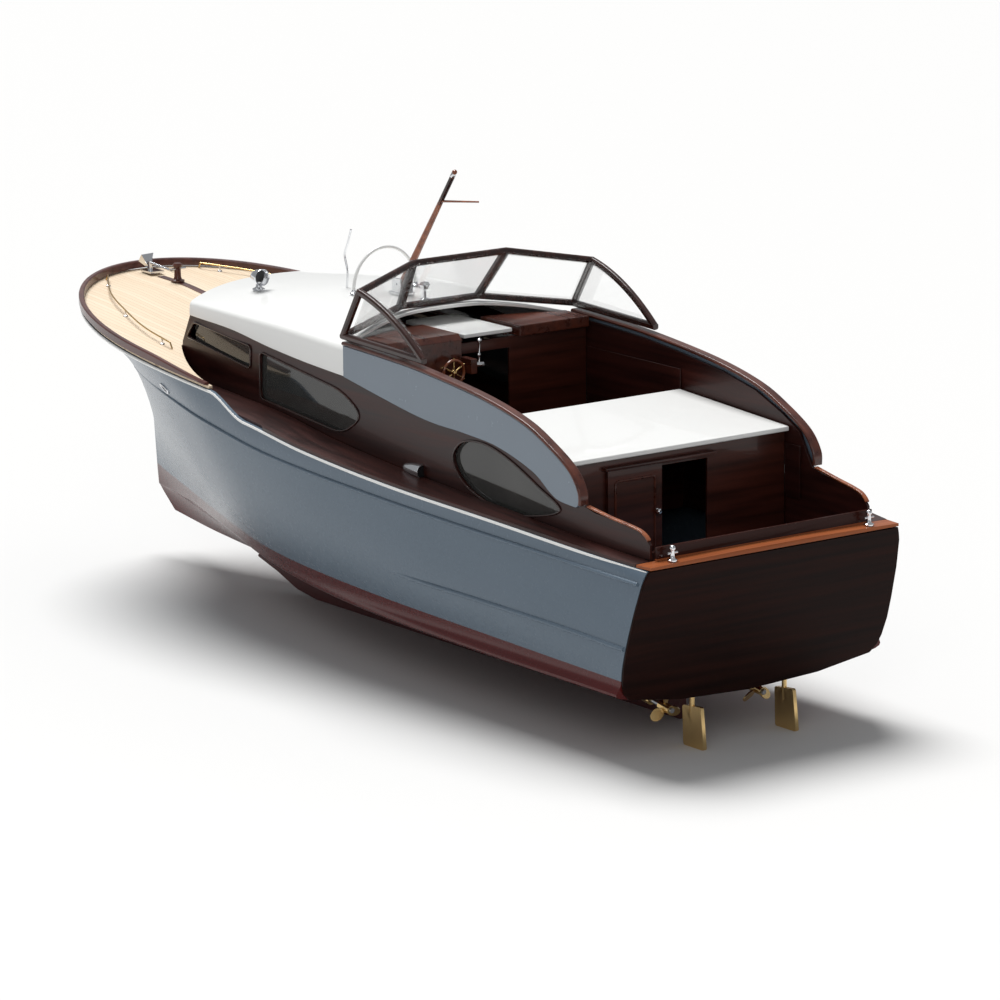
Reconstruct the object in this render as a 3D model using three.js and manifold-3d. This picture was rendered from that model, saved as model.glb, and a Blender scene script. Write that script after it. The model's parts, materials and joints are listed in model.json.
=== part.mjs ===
// A radio-controlled model of a classic wooden motor cruiser: hull, decks, trunk cabin, bridge well,
// aft cabin and cockpit, with a twin-screw drive, twin rudders and their steering gear.
// Boat coordinates, in mm: x forward from the top of the transom, y to port, z up from the waterline.
// The exported group moves them to the row's frame: bow along +X, keel bottom at z = 0, centred in x and y.

import * as THREE from 'three';
import { mergeVertices } from 'three/addons/utils/BufferGeometryUtils.js';
import Module from 'manifold-3d';

const wasm = await Module();
wasm.setup();

// Driving dimensions
const LENGTH = 875; // transom top to stem head, at the deck edge
const BEAM_HALF = 150; // greatest half-breadth, at the sheer
const TRANSOM_HALF = 120; // half-breadth of the transom at the deck
const BEAM_STATION = 500; // x of the greatest beam
const TRANSOM_HEIGHT = 93;
const TRANSOM_RAKE = 26; // the transom's foot is this far forward of its top
const RAIL_OVERHANG = 1.6; // toe rail beyond the stem head
const TRANSOM_OVERHANG = 3.4; // transom board and deck abaft the transom line
const STEP_AFT = 490; // the sheer steps up between these two x
const STEP_FORE = 540;
const SKIN = 3; // hull planking
const DECK = 2.2; // deck board thickness
const BOARD = 2.5; // cabin side and bulkhead thickness
const GAP = 0.3; // left between touching pieces
const KEEL_BOTTOM = -62;
const WALL_HALF = 112.9; // outer face of the cabin sides amidships
const ROOF_SKIN = 2.8;
const BRIDGE_FLOOR = 70;
const COCKPIT_FLOOR = 55;
const TRUNK_FRONT = 655; // x of the trunk's front corners at the deck
const FRONT_BULGE = 33; // the front is this much further forward on the centreline
const FRONT_RAKE = 22; // how far the front leans aft over RAKE_RISE above RAKE_FOOT
const RAKE_FOOT = 165;
const RAKE_RISE = 35;
const BULKHEAD_X = 374; // aft face of the bridge's forward bulkhead
const AFT_CABIN_FRONT = 247;
const AFT_CABIN_BACK = 120;
const AFT_TOP_LOW = 154; // the aft cabin's top slopes up from its aft edge to its fore edge
const AFT_TOP_HIGH = 162;
const SHAFT_Y = 45;
const SHAFT_SLOPE = THREE.MathUtils.degToRad(8);
const PROP = new THREE.Vector3(75, SHAFT_Y, -38);
const SHAFT_RADIUS = 2;
const RUDDER = new THREE.Vector2(42, SHAFT_Y);
const STOCK_RADIUS = 2;
const TILLER = 18; // arm length of both tillers and the servo horn
const TILLER_Z = 13;
const SERVO = new THREE.Vector2(100, 0); // the horn's axis
const MAST_PIVOT = new THREE.Vector3(478, 0, 227);
const MAST_TOP = new THREE.Vector3(404, 0, 328);
const LIGHT = new THREE.Vector2(596, 62); // searchlight's swivel

// Small helpers: curves, solids and booleans

const v3 = (x, y, z) => new THREE.Vector3(x, y, z);
const mix = THREE.MathUtils.lerp;
const smoothstep = THREE.MathUtils.smoothstep;

/** A smooth function through a few [x, value] pairs, held level outside them. */
function fair(pairs) {
  const slope = (i) => {
    const [a, b] = [pairs[Math.max(i - 1, 0)], pairs[Math.min(i + 1, pairs.length - 1)]];
    return (b[1] - a[1]) / (b[0] - a[0]);
  };
  return (x) => {
    if (x <= pairs[0][0]) return pairs[0][1];
    if (x >= pairs.at(-1)[0]) return pairs.at(-1)[1];
    const i = pairs.findIndex((p) => p[0] > x) - 1;
    const width = pairs[i + 1][0] - pairs[i][0];
    const t = (x - pairs[i][0]) / width;
    const [t2, t3] = [t * t, t * t * t];
    return (
      (2 * t3 - 3 * t2 + 1) * pairs[i][1] +
      (t3 - 2 * t2 + t) * width * slope(i) +
      (3 * t2 - 2 * t3) * pairs[i + 1][1] +
      (t3 - t2) * width * slope(i + 1)
    );
  };
}

function range(from, to, steps, ease = (t) => t) {
  return Array.from({ length: steps + 1 }, (_, i) => mix(from, to, ease(i / steps)));
}

const easeToEnd = (t) => 1 - (1 - t) ** 2; // closer together towards the end

/** A manifold solid from any closed three.js geometry. */
function solidOf(geometry, matrix) {
  const bare = new THREE.BufferGeometry();
  bare.setAttribute('position', geometry.attributes.position.clone());
  if (geometry.index) bare.setIndex(geometry.index);
  if (matrix) bare.applyMatrix4(matrix);
  const merged = mergeVertices(bare, 1e-4);
  const index = merged.index.array;
  const faces = [];
  for (let i = 0; i < index.length; i += 3) {
    const [a, b, c] = [index[i], index[i + 1], index[i + 2]];
    if (a !== b && b !== c && a !== c) faces.push(a, b, c);
  }
  const mesh = new wasm.Mesh({
    numProp: 3,
    vertProperties: Float32Array.from(merged.attributes.position.array),
    triVerts: Uint32Array.from(faces),
  });
  return new wasm.Manifold(mesh);
}

function geometryOf(solid) {
  const mesh = solid.getMesh();
  const geometry = new THREE.BufferGeometry();
  geometry.setAttribute('position', new THREE.BufferAttribute(mesh.vertProperties.slice(), 3));
  geometry.setIndex(new THREE.BufferAttribute(mesh.triVerts.slice(), 1));
  geometry.computeVertexNormals();
  return geometry;
}

const join = (...solids) => solids.reduce((a, b) => a.add(b));
const cut = (solid, ...tools) => tools.reduce((a, b) => a.subtract(b), solid);
const mirrored = (solid) => solid.mirror([0, 1, 0]);

/** Triangles across one end of a loft, as rungs between its loop's two halves. */
function capFaces(count, start) {
  const faces = [];
  for (let j = 0, k = count - 1; j + 1 < k; j++, k--) {
    faces.push(j, j + 1, k);
    if (j + 1 < k - 1) faces.push(j + 1, k - 1, k);
  }
  return faces.map((i) => i + start);
}

/** A solid skinned over closed loops of equal length. */
function loft(loops) {
  const n = loops[0].length;
  const points = loops.flat().flatMap((p) => [p.x, p.y, p.z]);
  const faces = [];
  for (let i = 0; i + 1 < loops.length; i++)
    for (let j = 0; j < n; j++) {
      const k = (j + 1) % n;
      const [a, b, c, d] = [i * n + j, i * n + k, (i + 1) * n + k, (i + 1) * n + j];
      faces.push(a, c, b, a, d, c);
    }
  faces.push(...capFaces(n, 0));
  const last = capFaces(n, (loops.length - 1) * n);
  for (let i = 0; i < last.length; i += 3) faces.push(last[i], last[i + 2], last[i + 1]);
  const geometry = new THREE.BufferGeometry();
  geometry.setAttribute('position', new THREE.Float32BufferAttribute(points, 3));
  const volume = signedVolume(points, faces);
  geometry.setIndex(volume < 0 ? faces.reverse() : faces);
  return solidOf(geometry);
}

function signedVolume(points, faces) {
  const at = (i) => v3(points[3 * i], points[3 * i + 1], points[3 * i + 2]);
  let sum = 0;
  for (let i = 0; i < faces.length; i += 3) sum += at(faces[i]).dot(at(faces[i + 1]).cross(at(faces[i + 2])));
  return sum;
}

function box(x0, x1, y0, y1, z0, z1) {
  const geometry = new THREE.BoxGeometry(x1 - x0, y1 - y0, z1 - z0);
  return solidOf(geometry, new THREE.Matrix4().makeTranslation((x0 + x1) / 2, (y0 + y1) / 2, (z0 + z1) / 2));
}

/** A round bar, or a cone, from a to b. */
function rod(a, b, radiusA, radiusB = radiusA, sides = 10) {
  const along = b.clone().sub(a);
  const turn = new THREE.Quaternion().setFromUnitVectors(v3(0, 1, 0), along.clone().normalize());
  const middle = a.clone().add(b).multiplyScalar(0.5);
  const geometry = new THREE.CylinderGeometry(radiusB, radiusA, along.length(), sides);
  return solidOf(geometry, new THREE.Matrix4().compose(middle, turn, v3(1, 1, 1)));
}

function ball(centre, radius, stretch = v3(1, 1, 1)) {
  const geometry = new THREE.SphereGeometry(radius, 8, 6);
  return solidOf(geometry, new THREE.Matrix4().compose(centre, new THREE.Quaternion(), stretch));
}

/** A square bar along a curve. */
function bar(curve, width, height, steps = 1) {
  const shape = new THREE.Shape();
  shape.moveTo(-height / 2, -width / 2);
  shape.lineTo(height / 2, -width / 2);
  shape.lineTo(height / 2, width / 2);
  shape.lineTo(-height / 2, width / 2);
  return solidOf(new THREE.ExtrudeGeometry(shape, { extrudePath: curve, steps, bevelEnabled: false }));
}

/** A round tube or rod along a curve. */
function roundBar(curve, radius, steps, sides = 8) {
  const shape = new THREE.Shape();
  shape.absarc(0, 0, radius, 0, 2 * Math.PI);
  const options = { extrudePath: curve, steps, bevelEnabled: false, curveSegments: sides };
  return solidOf(new THREE.ExtrudeGeometry(shape, options));
}

/** An outline drawn in x and z, extruded in y from y0 to y1. */
function sideCut(shape, y0, y1, segments = 6) {
  const options = { depth: y1 - y0, bevelEnabled: false, curveSegments: segments };
  const geometry = new THREE.ExtrudeGeometry(shape, options);
  const stand = new THREE.Matrix4().makeRotationX(Math.PI / 2);
  return solidOf(geometry, new THREE.Matrix4().makeTranslation(0, y1, 0).multiply(stand));
}

/** An outline drawn in x and y, extruded in z from z0 to z1. */
function planCut(shape, z0, z1, segments = 12) {
  const options = { depth: z1 - z0, bevelEnabled: false, curveSegments: segments };
  return solidOf(new THREE.ExtrudeGeometry(shape, options), new THREE.Matrix4().makeTranslation(0, 0, z0));
}

function polygon(points) {
  return new THREE.Shape(points.map(([a, b]) => new THREE.Vector2(a, b)));
}

// Hull form

const lowSheer = fair([[0, 93], [60, 96.5], [170, 104], [300, 111], [410, 120], [500, 131], [660, 137]]);
const highSheer = fair([[500, 145], [620, 154], [700, 161], [780, 170], [850, 179], [880, 183]]);
const sheer = (x) => mix(lowSheer(x), highSheer(x), smoothstep(x, STEP_AFT, STEP_FORE));

/** Half-breadth of the deck edge: full forward, with a blunt rounded bow, and easing in to the transom. */
function deckHalf(x) {
  const taper = BEAM_HALF - TRANSOM_HALF;
  if (x < BEAM_STATION) return BEAM_HALF - taper * ((BEAM_STATION - x) / BEAM_STATION) ** 2;
  const u = Math.min((x - BEAM_STATION) / (LENGTH - BEAM_STATION), 1);
  return Math.max(BEAM_HALF * Math.sqrt(1 - u ** 3.3), 0.8);
}

const transomX = (z) => TRANSOM_RAKE * (1 - z / TRANSOM_HEIGHT);
const stemX = fair([[-42, 765], [-36, 800], [-22, 830], [0, 851], [60, 858], [120, 865], [184, LENGTH]]);

// Half-breadth and height along the hull, by share of its length, at the lines that shape a section
const LINES = {
  keel: { half: () => 0, z: fair([[0, -22], [0.25, -34], [0.5, -42], [0.8, -40], [0.93, -32], [1, -24]]) },
  chine: {
    half: fair([[0, 117], [0.2, 114], [0.42, 104], [0.6, 82], [0.78, 42], [0.9, 16], [1, 0.8]]),
    z: fair([[0, -11], [0.4, -14], [0.7, -13], [0.9, -8], [1, -6]]),
  },
  water: {
    half: fair([[0, 126], [0.2, 122], [0.42, 115], [0.6, 97], [0.78, 54], [0.9, 24], [1, 0.8]]),
    z: () => 3,
  },
  middle: {
    half: fair([
      [0, 128], [0.2, 133], [0.4, 134], [0.6, 121], [0.72, 98], [0.82, 70], [0.9, 44], [0.96, 21], [1, 0.8],
    ]),
    z: fair([[0, 34], [0.4, 38], [0.7, 46], [1, 60]]),
  },
  knuckle: {
    half: fair([
      [0, 124], [0.12, 131], [0.35, 143], [0.53, 147], [0.645, 143],
      [0.72, 131], [0.8, 112], [0.88, 84], [0.95, 47], [1, 0.8],
    ]),
    z: fair([[0, 82], [0.15, 88], [0.36, 97], [0.53, 106], [0.65, 118], [0.75, 125], [0.85, 129], [1, 134]]),
  },
};

/** The deck-edge point of the station at share s: x depends on its height, so it is found by iteration. */
function deckEdge(s) {
  let x = s * LENGTH;
  for (let i = 0; i < 8; i++) x = mix(transomX(sheer(x)), stemX(sheer(x)), s);
  return v3(x, deckHalf(x), sheer(x));
}

/** One side of a station, from keel to deck edge, with in-between points on a smooth curve. */
function stationSide(s, perSpan) {
  const along = (z) => mix(transomX(z), stemX(z), s);
  const key = Object.values(LINES).map((line) => v3(along(line.z(s)), line.half(s), line.z(s)));
  key.push(deckEdge(s));
  const curve = new THREE.CatmullRomCurve3(key, false, 'centripetal');
  return range(0, 1, (key.length - 1) * perSpan).map((t) => curve.getPoint(t));
}

/** A full hull section as a loop, moved in by inset and closed straight across at the top. */
function station(s, perSpan, inset = 0, raise = 0) {
  const bottomRise = (z) => (z < 0 ? inset : 0);
  const side = stationSide(s, perSpan).map((p) => v3(p.x, Math.max(p.y - inset, 0), p.z + bottomRise(p.z)));
  if (raise) side.push(side.at(-1).clone().add(v3(0, 0, raise)));
  const other = side.slice(1).map((p) => v3(p.x, -Math.max(p.y, 0.3), p.z));
  const port = side.slice(1).map((p) => v3(p.x, Math.max(p.y, 0.3), p.z));
  return [...port.reverse(), side[0], ...other];
}

const shaftLine = (x, side) => v3(x, side * SHAFT_Y, PROP.z + (x - PROP.x) * Math.tan(SHAFT_SLOPE));

function hull() {
  const outside = loft(range(0, 1, 31, (t) => 1 - (1 - t) ** 1.5).map((s) => station(s, 2)));
  const inside = loft(range(0.005, 0.94, 22, easeToEnd).map((s) => station(s, 1, SKIN, 70)));
  const holes = [1, -1].flatMap((side) => [
    rod(shaftLine(90, side), shaftLine(300, side), SHAFT_RADIUS + GAP + 0.2),
    rod(v3(RUDDER.x, side * RUDDER.y, -60), v3(RUDDER.x, side * RUDDER.y, 10), STOCK_RADIUS + GAP),
  ]);
  return cut(outside, inside, deckRebate(), mirrored(deckRebate()), ...holes);
}

/** Space inside the raised bulwark where the side deck runs under the foredeck's aft corners. */
function deckRebate() {
  return loft(
    range(STEP_AFT - 36, STEP_FORE + 60, 12).map((x) => {
      const edge = deckHalf(x) - mix(2, 4.5, smoothstep(x, 530, 590));
      const low = lowSheer(x) - 0.1;
      return [v3(x, 120, low), v3(x, edge, low), v3(x, edge, low + 3.4), v3(x, 120, low + 3.4)];
    }),
  );
}

/** Keel and deadwood below the planking, with a flat bottom to stand on. */
function keel() {
  const bottomOf = (s) => LINES.keel.z(s) - 3 * GAP;
  return loft(
    range(0.1, 0.87, 20).map((s) => {
      const x = mix(transomX(-30), stemX(-38), s);
      const top = bottomOf(s);
      const foot = mix(KEEL_BOTTOM, top - 3, smoothstep(s, 0.76, 0.87));
      return [v3(x, 3.5, foot), v3(x, 3.5, top - 1), v3(x, 0, top), v3(x, -3.5, top - 1), v3(x, -3.5, foot)];
    }),
  );
}

function transomBoard() {
  const section = station(0, 2);
  const shift = (d) => section.map((p) => p.clone().add(v3(-d, 0, 0)));
  return loft([shift(GAP), shift(GAP + BOARD)]);
}

// Decks

const wallHalf = fair([
  [0, 105], [25, 107.5], [60, 110.5], [100, 112.4], [150, WALL_HALF], [520, 112], [600, 107], [TRUNK_FRONT, 100],
]);
const lowDeckTop = (x) => lowSheer(x) + GAP + DECK;
const camberAt = (x) => 5 * smoothstep(x, STEP_FORE, 700) * (1 - smoothstep(x, 790, 868));
const camber = (x, y) => camberAt(x) * (1 - (y / deckHalf(x)) ** 2);
const foredeckTop = (x, y) => sheer(x) + GAP + DECK + camber(x, y);

/** Plan line where the raised foredeck ends: from the sheer step to the trunk's front corner. */
const riser = new THREE.QuadraticBezierCurve3(
  v3(STEP_FORE + 1, 145.5, 0),
  v3(592, 138, 0),
  v3(TRUNK_FRONT - 1, 101.5, 0),
);

/** Plan line of the trunk's front at the deck. */
const frontX = (y) => TRUNK_FRONT + FRONT_BULGE * (1 - (y / 100) ** 2);

function foredeck() {
  const across = range(-1, 1, 8);
  const plate = loft(
    range(STEP_FORE - 2, LENGTH - 1, 16, easeToEnd).map((x) => {
      const half = deckHalf(x);
      const top = across.map((u) => v3(x, u * half, foredeckTop(x, u * half)));
      const under = top.map((p) => p.clone().add(v3(0, 0, -DECK))).reverse();
      return [...top, ...under];
    }),
  );
  const edge = riser.getPoints(8).map((p) => [p.x, p.y]);
  const front = range(100, -100, 12).map((y) => [frontX(y) + GAP, y]);
  const far = edge.map(([x, y]) => [x, -y]).reverse();
  return cut(plate, planCut(polygon([[500, 145.5], ...edge, ...front, ...far, [500, -145.5]]), 100, 250));
}

/** Covering board beside the cabin, and the riser up to the foredeck at its fore end. */
function sideDeck() {
  const outer = (x) => {
    if (x <= STEP_AFT - 28) return deckHalf(x);
    const insideBulwark = deckHalf(x) - mix(2.5, 8, smoothstep(x, STEP_FORE + 1, 575));
    return x < STEP_FORE + 1 ? insideBulwark : Math.min(insideBulwark, riserHalf(x) + 2.2);
  };
  const xs = [13, ...range(40, STEP_AFT - 28, 10), STEP_AFT - 22, ...range(490, TRUNK_FRONT - 4, 10)];
  const board = loft(
    xs.map((x) => {
      const [inner, edge] = [wallHalf(x) + GAP, outer(x)];
      const [low, high] = [lowSheer(x) + GAP, lowDeckTop(x)];
      return [v3(x, inner, low), v3(x, edge, low), v3(x, edge, high), v3(x, inner, high)];
    }),
  );
  const stand = loft(
    riser.getPoints(10).slice(4, -1).map((p) => {
      const [low, high] = [lowDeckTop(p.x) - 0.6, sheer(p.x) + camber(p.x, p.y) - 0.1];
      return [v3(p.x, p.y, low), v3(p.x, p.y + 2, low), v3(p.x, p.y + 2, high), v3(p.x, p.y, high)];
    }),
  );
  return join(board, stand);
}

function riserHalf(x) {
  return riser.getPoints(40).reduce((a, b) => (Math.abs(a.x - x) < Math.abs(b.x - x) ? a : b)).y;
}

/** Aft deck board across the transom, with the low coaming that stands along its fore edge. */
function transomDeck() {
  const edge = (x) => deckHalf(x) - 0.2;
  const board = loft(
    [-3.4, 12.4].map((x) => {
      const half = edge(Math.max(x, 0));
      const crowned = (u) => TRANSOM_HEIGHT + GAP + DECK + 0.6 + 1.5 * (1 - u * u);
      const top = range(-1, 1, 8).map((u) => v3(x, u * half, crowned(u)));
      const under = range(1, -1, 8).map((u) => v3(x, u * half, TRANSOM_HEIGHT + GAP + 0.6));
      return [...top, ...under];
    }),
  );
  return join(board, box(9.6, 12.2, -104, 104, 95, 107));
}

/** Toe rail round the foredeck, from one sheer step to the other, standing on the deck's edge. */
function toeRail() {
  const xs = range(STEP_FORE + 4, LENGTH, 26, easeToEnd);
  const port = xs.map((x) => new THREE.Vector2(x, x < LENGTH ? deckHalf(x) : 0));
  const path = [...port, ...port.slice(0, -1).reverse().map((p) => new THREE.Vector2(p.x, -p.y))];
  return loft(
    path.map((p, i) => {
      const along = path[Math.min(i + 1, path.length - 1)].clone().sub(path[Math.max(i - 1, 0)]).normalize();
      const out = new THREE.Vector2(along.y, -along.x).multiplyScalar(-1);
      const at = (d, z) => v3(p.x + out.x * d, p.y + out.y * d, z);
      const low = sheer(p.x) + DECK + 3 * GAP;
      const high = low + mix(2, 6.5, smoothstep(p.x, STEP_FORE, 640));
      return [at(-3.4, low), at(1.6, low), at(1.6, high), at(-3.4, high)];
    }),
  );
}

// Trunk cabin, coamings and roof

const skirtFoot = fair([[395, 177], [450, 180], [500, 184], [560, 190], [640, 190.5], [680, 191]]);
const shoulder = fair([[395, 202], [500, 205], [600, 204], [680, 200]]);
const crown = fair([[395, 216.5], [480, 218], [540, 218], [600, 214.5], [680, 207]]);

/** Upper edge of the coaming, as an outline in x and z, from the cabin roof round to its aft tip. */
const COAMING_TOP = [
  [395.6, 205.5], [340, 203.5], [289, 200.5], [212, 192], [158, 181], [125, 168], [98, 153], [86, 138], [85, 127],
];
const COAMING_FOOT = [
  [92, 124.5], [112, 126], [124, 130.5], [146, 143], [190, 154.5], [233, 158], [293, 161], [395.6, 177],
];
const coamingTop = new THREE.SplineCurve(COAMING_TOP.map(([x, z]) => new THREE.Vector2(x, z)));
const coamingFoot = new THREE.SplineCurve(COAMING_FOOT.map(([x, z]) => new THREE.Vector2(x, z)));

/** The coaming's upper edge moved in, towards the cabin side, by a distance. */
function coamingLine(inset, steps = 24) {
  return range(0, 1, steps).map((t) => {
    const p = coamingTop.getPoint(t);
    const d = coamingTop.getTangent(t);
    return [p.x - d.y * inset, p.y + d.x * inset];
  });
}

function coaming() {
  const foot = coamingFoot.getPoints(20).map((p) => [p.x, p.y]);
  return sideCut(polygon([...coamingLine(3.3), ...foot]), WALL_HALF + GAP, WALL_HALF + 4.3);
}

function coamingCap() {
  return sideCut(polygon([...coamingLine(0), ...coamingLine(3).reverse()]), WALL_HALF - BOARD - 1.2, WALL_HALF + 5.4);
}

/** Height of the cabin side's top edge. */
function wallTop(x) {
  if (x > 396) return skirtFoot(x) + 4;
  if (x > 104) return capHeight(x) - 6;
  return fair([[14, 107], [20, 113.5], [28, 117], [60, 121.5], [88, 126], [96, 138], [104, capHeight(104) - 6]])(x);
}

function capHeight(x) {
  return coamingTop.getPoints(120).reduce((a, b) => (Math.abs(a.x - x) < Math.abs(b.x - x) ? a : b)).y;
}

function roundedOutline(corners) {
  const shape = new THREE.Shape();
  const n = corners.length;
  corners.forEach(([x, z, r], i) => {
    const [a, b] = [corners[(i + n - 1) % n], corners[(i + 1) % n]];
    const towards = (p) => new THREE.Vector2(p[0] - x, p[1] - z).setLength(r).add(new THREE.Vector2(x, z));
    const [start, end] = [towards(a), towards(b)];
    if (i === 0) shape.moveTo(start.x, start.y);
    else shape.lineTo(start.x, start.y);
    shape.quadraticCurveTo(x, z, end.x, end.y);
  });
  return shape;
}

// Side windows: two with straight edges, as [x, z, corner radius], and an egg-shaped one aft
const FORE_WINDOW = [[536, 161, 4], [535, 180, 4], [631, 185, 4], [645, 170.5, 4]];
const MIDDLE_WINDOW = [[522, 139, 6], [521, 178, 6], [402, 164, 16], [374, 148, 14], [402, 129, 16]];
const AFT_WINDOW = [
  [253, 138], [240, 150], [212, 153], [180, 146], [145, 132],
  [116, 118], [150, 107], [190, 104], [230, 113], [249, 126],
];

function windowShapes() {
  const egg = new THREE.CatmullRomCurve3(AFT_WINDOW.map(([x, z]) => v3(x, z, 0)), true);
  const aft = new THREE.Shape(egg.getPoints(24).slice(0, -1).map((p) => new THREE.Vector2(p.x, p.y)));
  return [roundedOutline(FORE_WINDOW), roundedOutline(MIDDLE_WINDOW), aft];
}

function cabinSide() {
  const aft = [15, 20, 28, 45, 60, 75, 88, 96, 104, 125, 158, ...range(200, 350, 3)];
  const xs = [...aft, 380, 382, 396, 397, ...range(440, 600, 4), 630, TRUNK_FRONT];
  const wall = loft(
    xs.map((x) => {
      const [outer, low, high] = [wallHalf(x), x > 381 ? 112 : x < 24 ? 97 : 66, wallTop(x)];
      return [v3(x, outer, low), v3(x, outer, high), v3(x, outer - BOARD, high), v3(x, outer - BOARD, low)];
    }),
  );
  const openings = windowShapes().map((shape) => sideCut(shape, 80, 130, 4));
  return cut(wall, ...openings, frontRakeCut());
}

/** Everything forward of the raked plane through the trunk's front corners. */
function frontRakeCut() {
  const [x, far] = [TRUNK_FRONT - 0.4, TRUNK_FRONT + 60];
  const raked = [x - 1.5 * FRONT_RAKE, RAKE_FOOT + 1.5 * RAKE_RISE];
  return sideCut(polygon([[far, 100], [far, 240], raked, [x, RAKE_FOOT], [x, 100]]), -130, 130);
}

function cabinFront() {
  const wall = loft(
    range(96.8, -96.8, 14).map((y) => {
      const x = frontX(y);
      const top = roofTop(x - FRONT_RAKE, y) - ROOF_SKIN - 0.8;
      const lean = (z) => -FRONT_RAKE * (Math.max(z - RAKE_FOOT, 0) / RAKE_RISE);
      const at = (d, z) => v3(x - d + lean(z), y, z);
      return [at(0, 152), at(0, RAKE_FOOT), at(0, top), at(BOARD, top), at(BOARD, RAKE_FOOT), at(BOARD, 152)];
    }),
  );
  const panes = [[-21, 21], [27, 55], [-55, -27], [61, 88], [-88, -61]];
  return cut(wall, ...panes.map(([a, b]) => box(600, 720, a, b, 174, 194)));
}

/** Half-breadth of the roof's lower edge. */
const skirtHalf = (x) => wallHalf(x) + GAP + ROOF_SKIN;

/** Height of the roof's upper surface inside its shoulders. */
function roofTop(x, y) {
  const half = skirtHalf(x) - 5;
  return crown(x) - (crown(x) - shoulder(x)) * Math.min(Math.abs(y) / half, 1) ** 2.2;
}

/** Plan lines of the roof's two ends. */
const roofFore = (y) => 672 - 34 * (y / 100) ** 2;
const roofAft = (y) => (Math.abs(y) < 38 ? 421 : mix(421, 397, (Math.abs(y) - 38) / 76));

function roofSection(t, inset) {
  const across = [1, 1, 0.985, 0.93, 0.75, 0.5, 0.25, 0];
  const side = across.map((share, i) => {
    const guess = mix(397, 640, t);
    const y = share * (skirtHalf(guess) - inset);
    const x = mix(roofAft(y), roofFore(y), t);
    const edge = skirtHalf(x) - inset;
    const foot = skirtFoot(x);
    if (i === 0) return v3(x, edge, foot);
    if (i === 1) return v3(x, edge - 0.3, mix(foot, shoulder(x), 0.6) - inset);
    if (i === 2) return v3(x, edge - 2, mix(foot, shoulder(x), 0.9) - inset);
    return v3(x, share * edge, roofTop(x, share * edge) - inset);
  });
  return [...side, ...side.slice(0, -1).reverse().map((p) => v3(p.x, -p.y, p.z))];
}

/** The domed roof, with a board under its aft edge that closes it down to the helm and dash tops. */
function cabinRoof() {
  const dome = loft(range(0, 1, 14).map((t) => [...roofSection(t, 0), ...roofSection(t, ROOF_SKIN).reverse()]));
  const board = loft(
    range(-99, 99, 12).map((y) => {
      const x = roofAft(y) + 6;
      const top = roofTop(x, y) - ROOF_SKIN / 2;
      return [v3(x, y, 205), v3(x + BOARD, y, 205), v3(x + BOARD, y, top), v3(x, y, top)];
    }),
  );
  return join(dome, board);
}

// Bulkheads, floors and the bridge

const bulkheadHalf = WALL_HALF - BOARD - 1.8;

function bridgeBulkhead() {
  const board = box(BULKHEAD_X, BULKHEAD_X + BOARD, -bulkheadHalf, bulkheadHalf, BRIDGE_FLOOR + GAP, 195);
  return cut(board, box(300, 420, -31, 16, BRIDGE_FLOOR + 6, 186));
}

/** Helm console with the bracket that carries the engine controls. */
function helmConsole() {
  const top = [[372, 22], [372, 92], [401.5, 92], [419.5, 38.6], [419.5, 22]];
  const front = [[366, 150], [373.5, 150], [373.5, 204.5], [370, 204.5], [366, 200]];
  const bracket = box(352, 368, 17, 23, 174, 186);
  return join(planCut(polygon(top), 195.6, 204.5), sideCut(polygon(front), 22, 92), bracket);
}

function starboardDash() {
  const outline = [[366, -106], [398, -106], [419.5, -38.6], [419.5, -35.5], [366, -35.5]];
  return planCut(polygon(outline), 195.6, 204.5);
}

function bridgeFloor() {
  return box(AFT_CABIN_FRONT + BOARD + GAP, 378, -bulkheadHalf, bulkheadHalf, BRIDGE_FLOOR - 2.5, BRIDGE_FLOOR);
}

function aftCabinFront() {
  return box(AFT_CABIN_FRONT, AFT_CABIN_FRONT + BOARD, -bulkheadHalf, bulkheadHalf, BRIDGE_FLOOR - 4, AFT_TOP_HIGH - 4.8);
}

const DOOR = { low: COCKPIT_FLOOR + 4, high: 141, width: 52, from: 15 };

/** Bulkhead behind the cockpit, with its doorway and the track that the door hangs from. */
function cockpitBulkhead() {
  const board = box(
    AFT_CABIN_BACK, AFT_CABIN_BACK + BOARD, -bulkheadHalf, bulkheadHalf, COCKPIT_FLOOR + GAP, AFT_TOP_LOW - 4.6,
  );
  const opening = box(100, 130, DOOR.from - 47, DOOR.from - 2, DOOR.low + 2, DOOR.high - 3);
  const track = box(AFT_CABIN_BACK - 6, AFT_CABIN_BACK + 1, -36, 71, DOOR.high + 0.6, DOOR.high + 3);
  return join(cut(board, opening), track);
}

function cockpitFloor() {
  const outline = [[17, -96], [17, 96], [119, 107], [119, -107]];
  return planCut(polygon(outline), COCKPIT_FLOOR - 2.5, COCKPIT_FLOOR);
}

function cabinDoor() {
  const x = AFT_CABIN_BACK - 3.2;
  const leaf = box(x, x + 2.6, DOOR.from, DOOR.from + DOOR.width, DOOR.low, DOOR.high);
  const knob = ball(v3(x - 2.4, DOOR.from + 6, 104), 2.2);
  return join(leaf, knob, rod(v3(x - 2, DOOR.from + 6, 104), v3(x + 1, DOOR.from + 6, 104), 1));
}

/** Flat lift-off top of the aft cabin, sloping with the sheer. */
function aftCabinTop() {
  const half = WALL_HALF - BOARD - 2;
  const ends = [[AFT_CABIN_BACK - 6, AFT_TOP_LOW], [AFT_CABIN_FRONT + 4, AFT_TOP_HIGH]];
  return loft(ends.map(([x, z]) => [v3(x, half, z - 4), v3(x, half, z), v3(x, -half, z), v3(x, -half, z - 4)]));
}

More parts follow.
